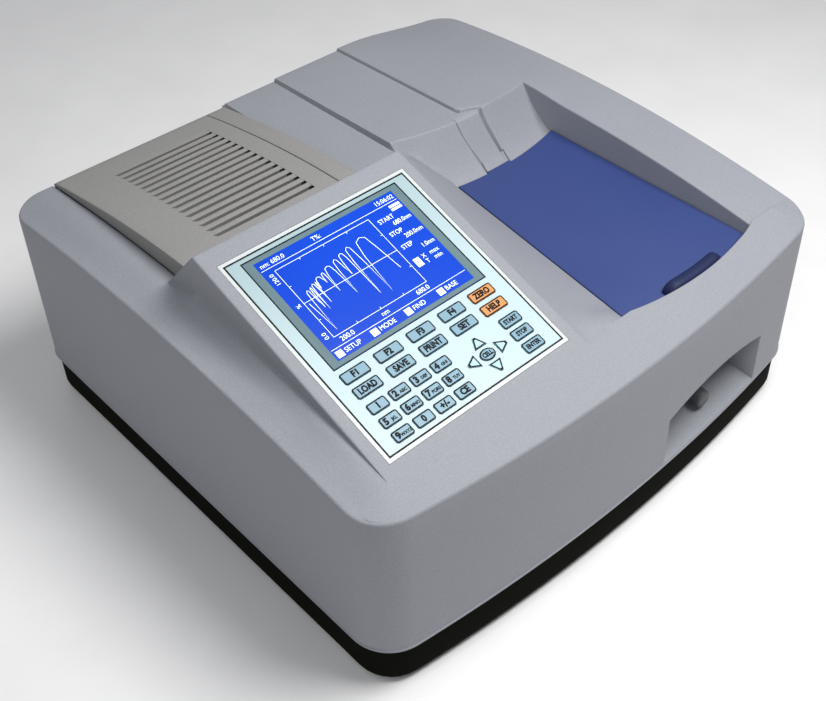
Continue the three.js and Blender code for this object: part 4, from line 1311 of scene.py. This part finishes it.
# Text, place and height on the screen, then how it is set
SCREEN_TEXTS = [
    ("nm: 680.0", -56, 38.6, 3.5, {"align": "LEFT"}),
    ("T%:", -14, 38.6, 3.5, {"align": "LEFT"}),
    ("15:06:02", 57, 38.6, 3.5, {"align": "RIGHT"}),
    ("120.0", -53.4, 26, 3.2, {"turn": math.pi / 2}),
    ("0.0", -53.4, -24, 3.2, {"turn": math.pi / 2}),
    ("%", -53.4, 2.15, 3.2, {"turn": math.pi / 2}),
    ("200.0", -47, -31.2, 3.6, {"align": "LEFT"}),
    ("nm", -10, -31.2, 3.6, {}),
    ("680.0", 28, -31.2, 3.6, {"align": "RIGHT"}),
    ("X", 41.5, -11, 3.4, {}),
    ("T", 41.5, -15.6, 3.4, {}),
    ("max", 50.5, -11, 3.4, {}),
    ("min", 50.5, -15.6, 3.4, {}),
]
SCREEN_BARS = [(48, 31.2, 57, 33.2), (48, 28.4, 57, 30.4), (32.5, -16.5, 37.5, -9.5)]
for order, (word, value) in enumerate((("START", "680.0nm"), ("STOP", "200.0nm"), ("STEP", "1.0nm"))):
    SCREEN_TEXTS.append((word, 33, 25.5 - 12 * order, 3.6, {"align": "LEFT", "stretch": 0.9}))
    SCREEN_TEXTS.append((value, 57, 20 - 12 * order, 3.6, {"align": "RIGHT", "stretch": 0.9}))
for order, word in enumerate(("SETUP", "MODE", "FIND", "BASE")):
    start_u = -56.5 + 28.6 * order
    SCREEN_BARS.append((start_u, -41.4, start_u + 5.2, -36.4))
    SCREEN_TEXTS.append((word, start_u + 6.6, -38.9, 3.6, {"align": "LEFT", "stretch": 0.95}))


def screen_rules():
    """The straight lines on the screen: two rules, the graph's frame with its ticks, and its middle line."""
    left, right, low, high = GRAPH["left"], GRAPH["right"], GRAPH["low"], GRAPH["high"]
    level = (low + high) / 2
    rules = [[(-57.5, v), (57.5, v)] for v in (35.3, -34.6)]
    rules += [[(left, v), (right, v)] for v in (low, high, level)]
    rules += [[(u, low), (u, high)] for u in (left, right)]
    for share in (0.25, 0.5, 0.75):
        u, v = mix(left, right, share), mix(low, high, share)
        rules += [[(u, low), (u, low + TICK)], [(u, high), (u, high - TICK)]]
        rules += [[(left, v), (left + TICK, v)], [(right, v), (right - TICK, v)]]
    return rules


def transmission_curve():
    """A filter's transmission trace: lobes that widen to the right, with deep narrow dips between them."""
    def place(s, t):
        return mix(GRAPH["left"], GRAPH["right"], s), mix(GRAPH["low"], GRAPH["high"], t)

    dips = (0.07, 0.125, 0.15, 0.20, 0.215, 0.29, 0.33, 0.44, 0.52, 0.60, 0.70, 0.91)
    depths = (0.06, 0.34, 0.30, 0.36, 0.55, 0.58, 0.42, 0.30, 0.52, 0.16, 0.12, 0.30)
    lobe = ((0.12, 0.7), (0.25, 0.95), (0.5, 1.0), (0.72, 0.96), (0.84, 0.7))
    start, level = 0.035, 0.47
    points = [place(start, level)]
    for k, (dip, depth) in enumerate(zip(dips, depths)):
        peak = min(0.86, 0.52 + 0.9 * (dip ** 0.7) * 0.45)
        if k:
            points += [place(mix(start, dip, share), mix(level, peak, height)) for share, height in lobe]
        points.append(place(dip, depth))
        start, level = dip, depth
    return points


def make_display():
    """The frame round the screen, and everything that lights up on it as one print."""
    outer = rectangle(-64.6, -45.9, 64.6, 45.9)
    inner = rectangle(-SCREEN_U, -SCREEN_V, SCREEN_U, SCREEN_V)
    bezel = ring_strip(outer, inner, -0.8, -0.02, inner_n=-0.28)
    piece("display_bezel_ring", bezel, BEZEL, "root", sharp=20)
    dress(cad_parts["display"], SCREEN)
    n0, n1 = SCREEN_N - 0.02, SCREEN_N + 0.06
    parts = [stroke(points, 0.34, n0, n1) for points in screen_rules()]
    parts.append(stroke(transmission_curve(), 0.42, n0, n1))
    parts += [slab(rectangle(*corners), n0, n1) for corners in SCREEN_BARS]
    parts += [lettering(text, u, v, height, n0, n1, **style) for text, u, v, height, style in SCREEN_TEXTS]
    piece("display_graphics", merge(parts), GLYPH, "root", sharp=20)


# ---- lid and handle
LID_GAP = 1.8               # between the lid's front edge and the well
LID_REAR_GAP = 0.9


def lid_outline(inset):
    """Plan of the lid, inset all round, anticlockwise from the front left corner."""
    left0, left1 = (lid_left_x(y) + 0.5 + inset for y in (-164, 26))
    right = WELL_RIGHT - 0.9 - inset
    corner, count, side_count = 1.2, 28, 9
    front = lambda x: well_front_y(x) + LID_GAP + inset
    rear = lambda x: ramp_foot_y(x) - LID_REAR_GAP - inset
    points = []
    for k in range(count + 1):
        x = mix(left0, right, k / count)
        rise = max(0, 1 - (right - x) / corner) ** 2 + max(0, 1 - (x - left0) / corner) ** 2 * 0.6
        points.append((x, front(x) + corner * rise))
    for k in range(1, side_count):
        points.append((right, mix(front(right) + corner, rear(right) - 1, k / side_count)))
    rear_xs = [mix(right, left1, k / count) for k in range(count + 1)]
    rear_xs += [SLOT_A[0], SLOT_A[0] + 0.8, SLOT_B[0] - 0.6, SLOT_B[0] + 0.6]
    for x in sorted(rear_xs, reverse=True):
        tab = 2.3 * smooth((x - SLOT_A[0]) / 0.8) * smooth((SLOT_B[0] + 0.6 - x) / 1.2)
        points.append((x, rear(x) + tab))
    for k in range(1, side_count):
        share = k / side_count
        points.append((mix(left1, left0, share), mix(rear(left1), front(left0) + corner, share)))
    return points


def box_part(x0, y0, z0, x1, y1, z1):
    rings = [[(x0, y0, z), (x1, y0, z), (x1, y1, z), (x0, y1, z)] for z in (z0, z1)]
    return loft(rings)


def make_lid():
    """The flat lid with rounded edges, and its stiffening ribs below."""
    low, high = LID_Z - LID_T, LID_Z
    levels = [(0.5, low), (0.0, low + 0.5), (0.0, high - 0.9)]
    levels += [(0.15, high - 0.35), (0.5, high - 0.08), (1.0, high)]
    plate = loft([[(x, y, z) for x, y in lid_outline(inset)] for inset, z in levels])
    x0, x1, y0, y1 = 68, 159, -144, -6
    ribs = [
        box_part(x, front, low - 9, x + width, rear, low + 0.2)
        for x, width, front, rear in ((x0, 3, y0, y1), (x1 - 3, 3, y0, y1), (x0 + 3.3, 84.4, y0, y0 + 3))
    ]
    piece("lid_plate", merge([plate] + ribs), LID, "lid", ["sample_lid"])


ARM_REACH = 7.2             # the arms' tops keep within this distance of the pin, clear of the shell


def make_lid_arms():
    """Two thin arms from the lid to the hinge pin; their tops follow the ramp where they fill its slots."""
    parts = []
    surface = lambda x, y: top_z(x, y, "ruled", "mid") - 1.3
    for x0, x1 in ((SLOT_A[0] + 0.2, SLOT_A[1] - 0.2), (SLOT_B[0] + 0.2, SLOT_B[1] - 0.2)):
        low = [(8, 146.4), (26, 146.4)]
        for k in range(9):
            angle = math.radians(mix(225, 405, k / 8))
            low.append((HINGE_Y + 5.2 * math.cos(angle), HINGE_Z + 5.2 * math.sin(angle)))
        top = []
        for k in range(12):
            y = mix(HINGE_Y, 22.4, k / 11)
            turning = max(0.0, ARM_REACH ** 2 - (y - HINGE_Y) ** 2)
            top.append((y, HINGE_Z + math.sqrt(turning) if y > HINGE_Y - 4 else LID_Z + 9))
        under = [(21.6, LID_Z - LID_T + 0.1), (8, LID_Z - LID_T + 0.1)]
        rings = []
        for x in (x0, x1):
            fitted = [(y, min(z, surface(x, y))) for y, z in top]
            rings.append([(x, y, z) for y, z in low + fitted + under])
        parts.append(loft(rings))
    piece("lid_arms", merge(parts), CASING, "lid")


def make_handle():
    """A rounded bar along the lid's front edge, bowed like the edge and swelling from its ends."""
    x0, x1 = 72.0, 131.0
    half_y, height, swell_reach = 6.0, 9.0, 9.0
    count, sides = 26, 20
    rings = []
    for k in range(count + 1):
        x = mix(x0, x1, 0.5 - 0.5 * math.cos(math.pi * k / count))
        from_end = min(x - x0, x1 - x)
        swell = max(0.04, math.sqrt(max(0.0, 1 - max(0, 1 - from_end / swell_reach) ** 2)))
        middle_y = well_front_y(x) + 2.4 + half_y
        ring = []
        for i in range(sides):
            a = 2 * math.pi * i / sides
            across = math.copysign(abs(math.cos(a)) ** 0.75, math.cos(a)) * half_y * (0.55 + 0.45 * swell)
            rise = max(0.0, math.sin(a)) ** 0.7 * height * swell
            ring.append((x, middle_y + across, LID_Z + 0.3 + rise))
        rings.append(ring)
    piece("lid_grip", loft(rings), HANDLE, "lid", ["lid_handle"], sharp=50)


# ---- pull rod
def make_pull_rod():
    """The rod and its knob, turned as one piece: a flat end, a rounded rim and a waisted neck."""
    end_y = float(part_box("pull_rod")[1].y) / MM
    profile = [(-198, 0.01), (-198, 5.2), (-197.6, 6.2), (-196.6, 6.9), (-195, 7), (-184, 7)]
    profile += [(-182, 6.4), (-180.5, 4.6), (-180, 3.5), (end_y, 3.5), (end_y, 0.01)]
    sides = 32
    angles = [2 * math.pi * i / sides for i in range(sides)]
    rings = []
    for y, radius in profile:
        rings.append([(ROD_X + radius * math.cos(a), y, ROD_Z + radius * math.sin(a)) for a in angles])
    piece("pull_knob", loft(rings), KNOB, "carrier", ["pull_rod"], sharp=40)


# ---- CAD nodes that stay as they are
def dress(node, material, edge=0.0):
    node.data.materials.clear()
    node.data.materials.append(material)
    if edge:
        soften(node, edge)


# The CAD nodes that stay as they are: material, width of the rounded edges, names
FINISHES = [
    (PANEL, 0, ["keypad_panel"]),
    (BLACK, 0.6, ["monochromator_case", "detector"]),
    (BLACK, 0.4, ["sample_tub"]),
    (BLACK, 0.3, ["filter_wheel", "fan_frame", "mains_inlet"]),
    (BLACK, 0.2, ["fan_rotor"]),
    (ALLOY, 0.6, ["optical_bench"]),
    (ALLOY, 0.4, ["cell_carrier"]),
    (STEEL, 0.5, ["power_supply"]),
    (STEEL, 0.2, ["lid_hinge_pin"]),
    (MIRROR, 0.3, ["source_mirror"]),
    (MIRROR, 0, ["grating"]),
    (GLASS, 0, ["deuterium_lamp", "tungsten_lamp"]),
    (BOARD, 0, ["main_board"]),
    (RUBBER, 0.4, ["power_switch"]),
    (RUBBER, 0.8, ["foot_1", "foot_2", "foot_3", "foot_4"]),
]


def dress_frame():
    for material, edge, names in FINISHES:
        for name in names:
            dress(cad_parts[name], material, edge)


make_camera()
make_studio()
make_floor()
make_casing()
make_pan()
make_cover()
make_trim()
make_keys()
make_panel_lines()
make_display()
make_lid()
make_lid_arms()
make_handle()
make_pull_rod()
dress_frame()

bpy.context.view_layer.update()
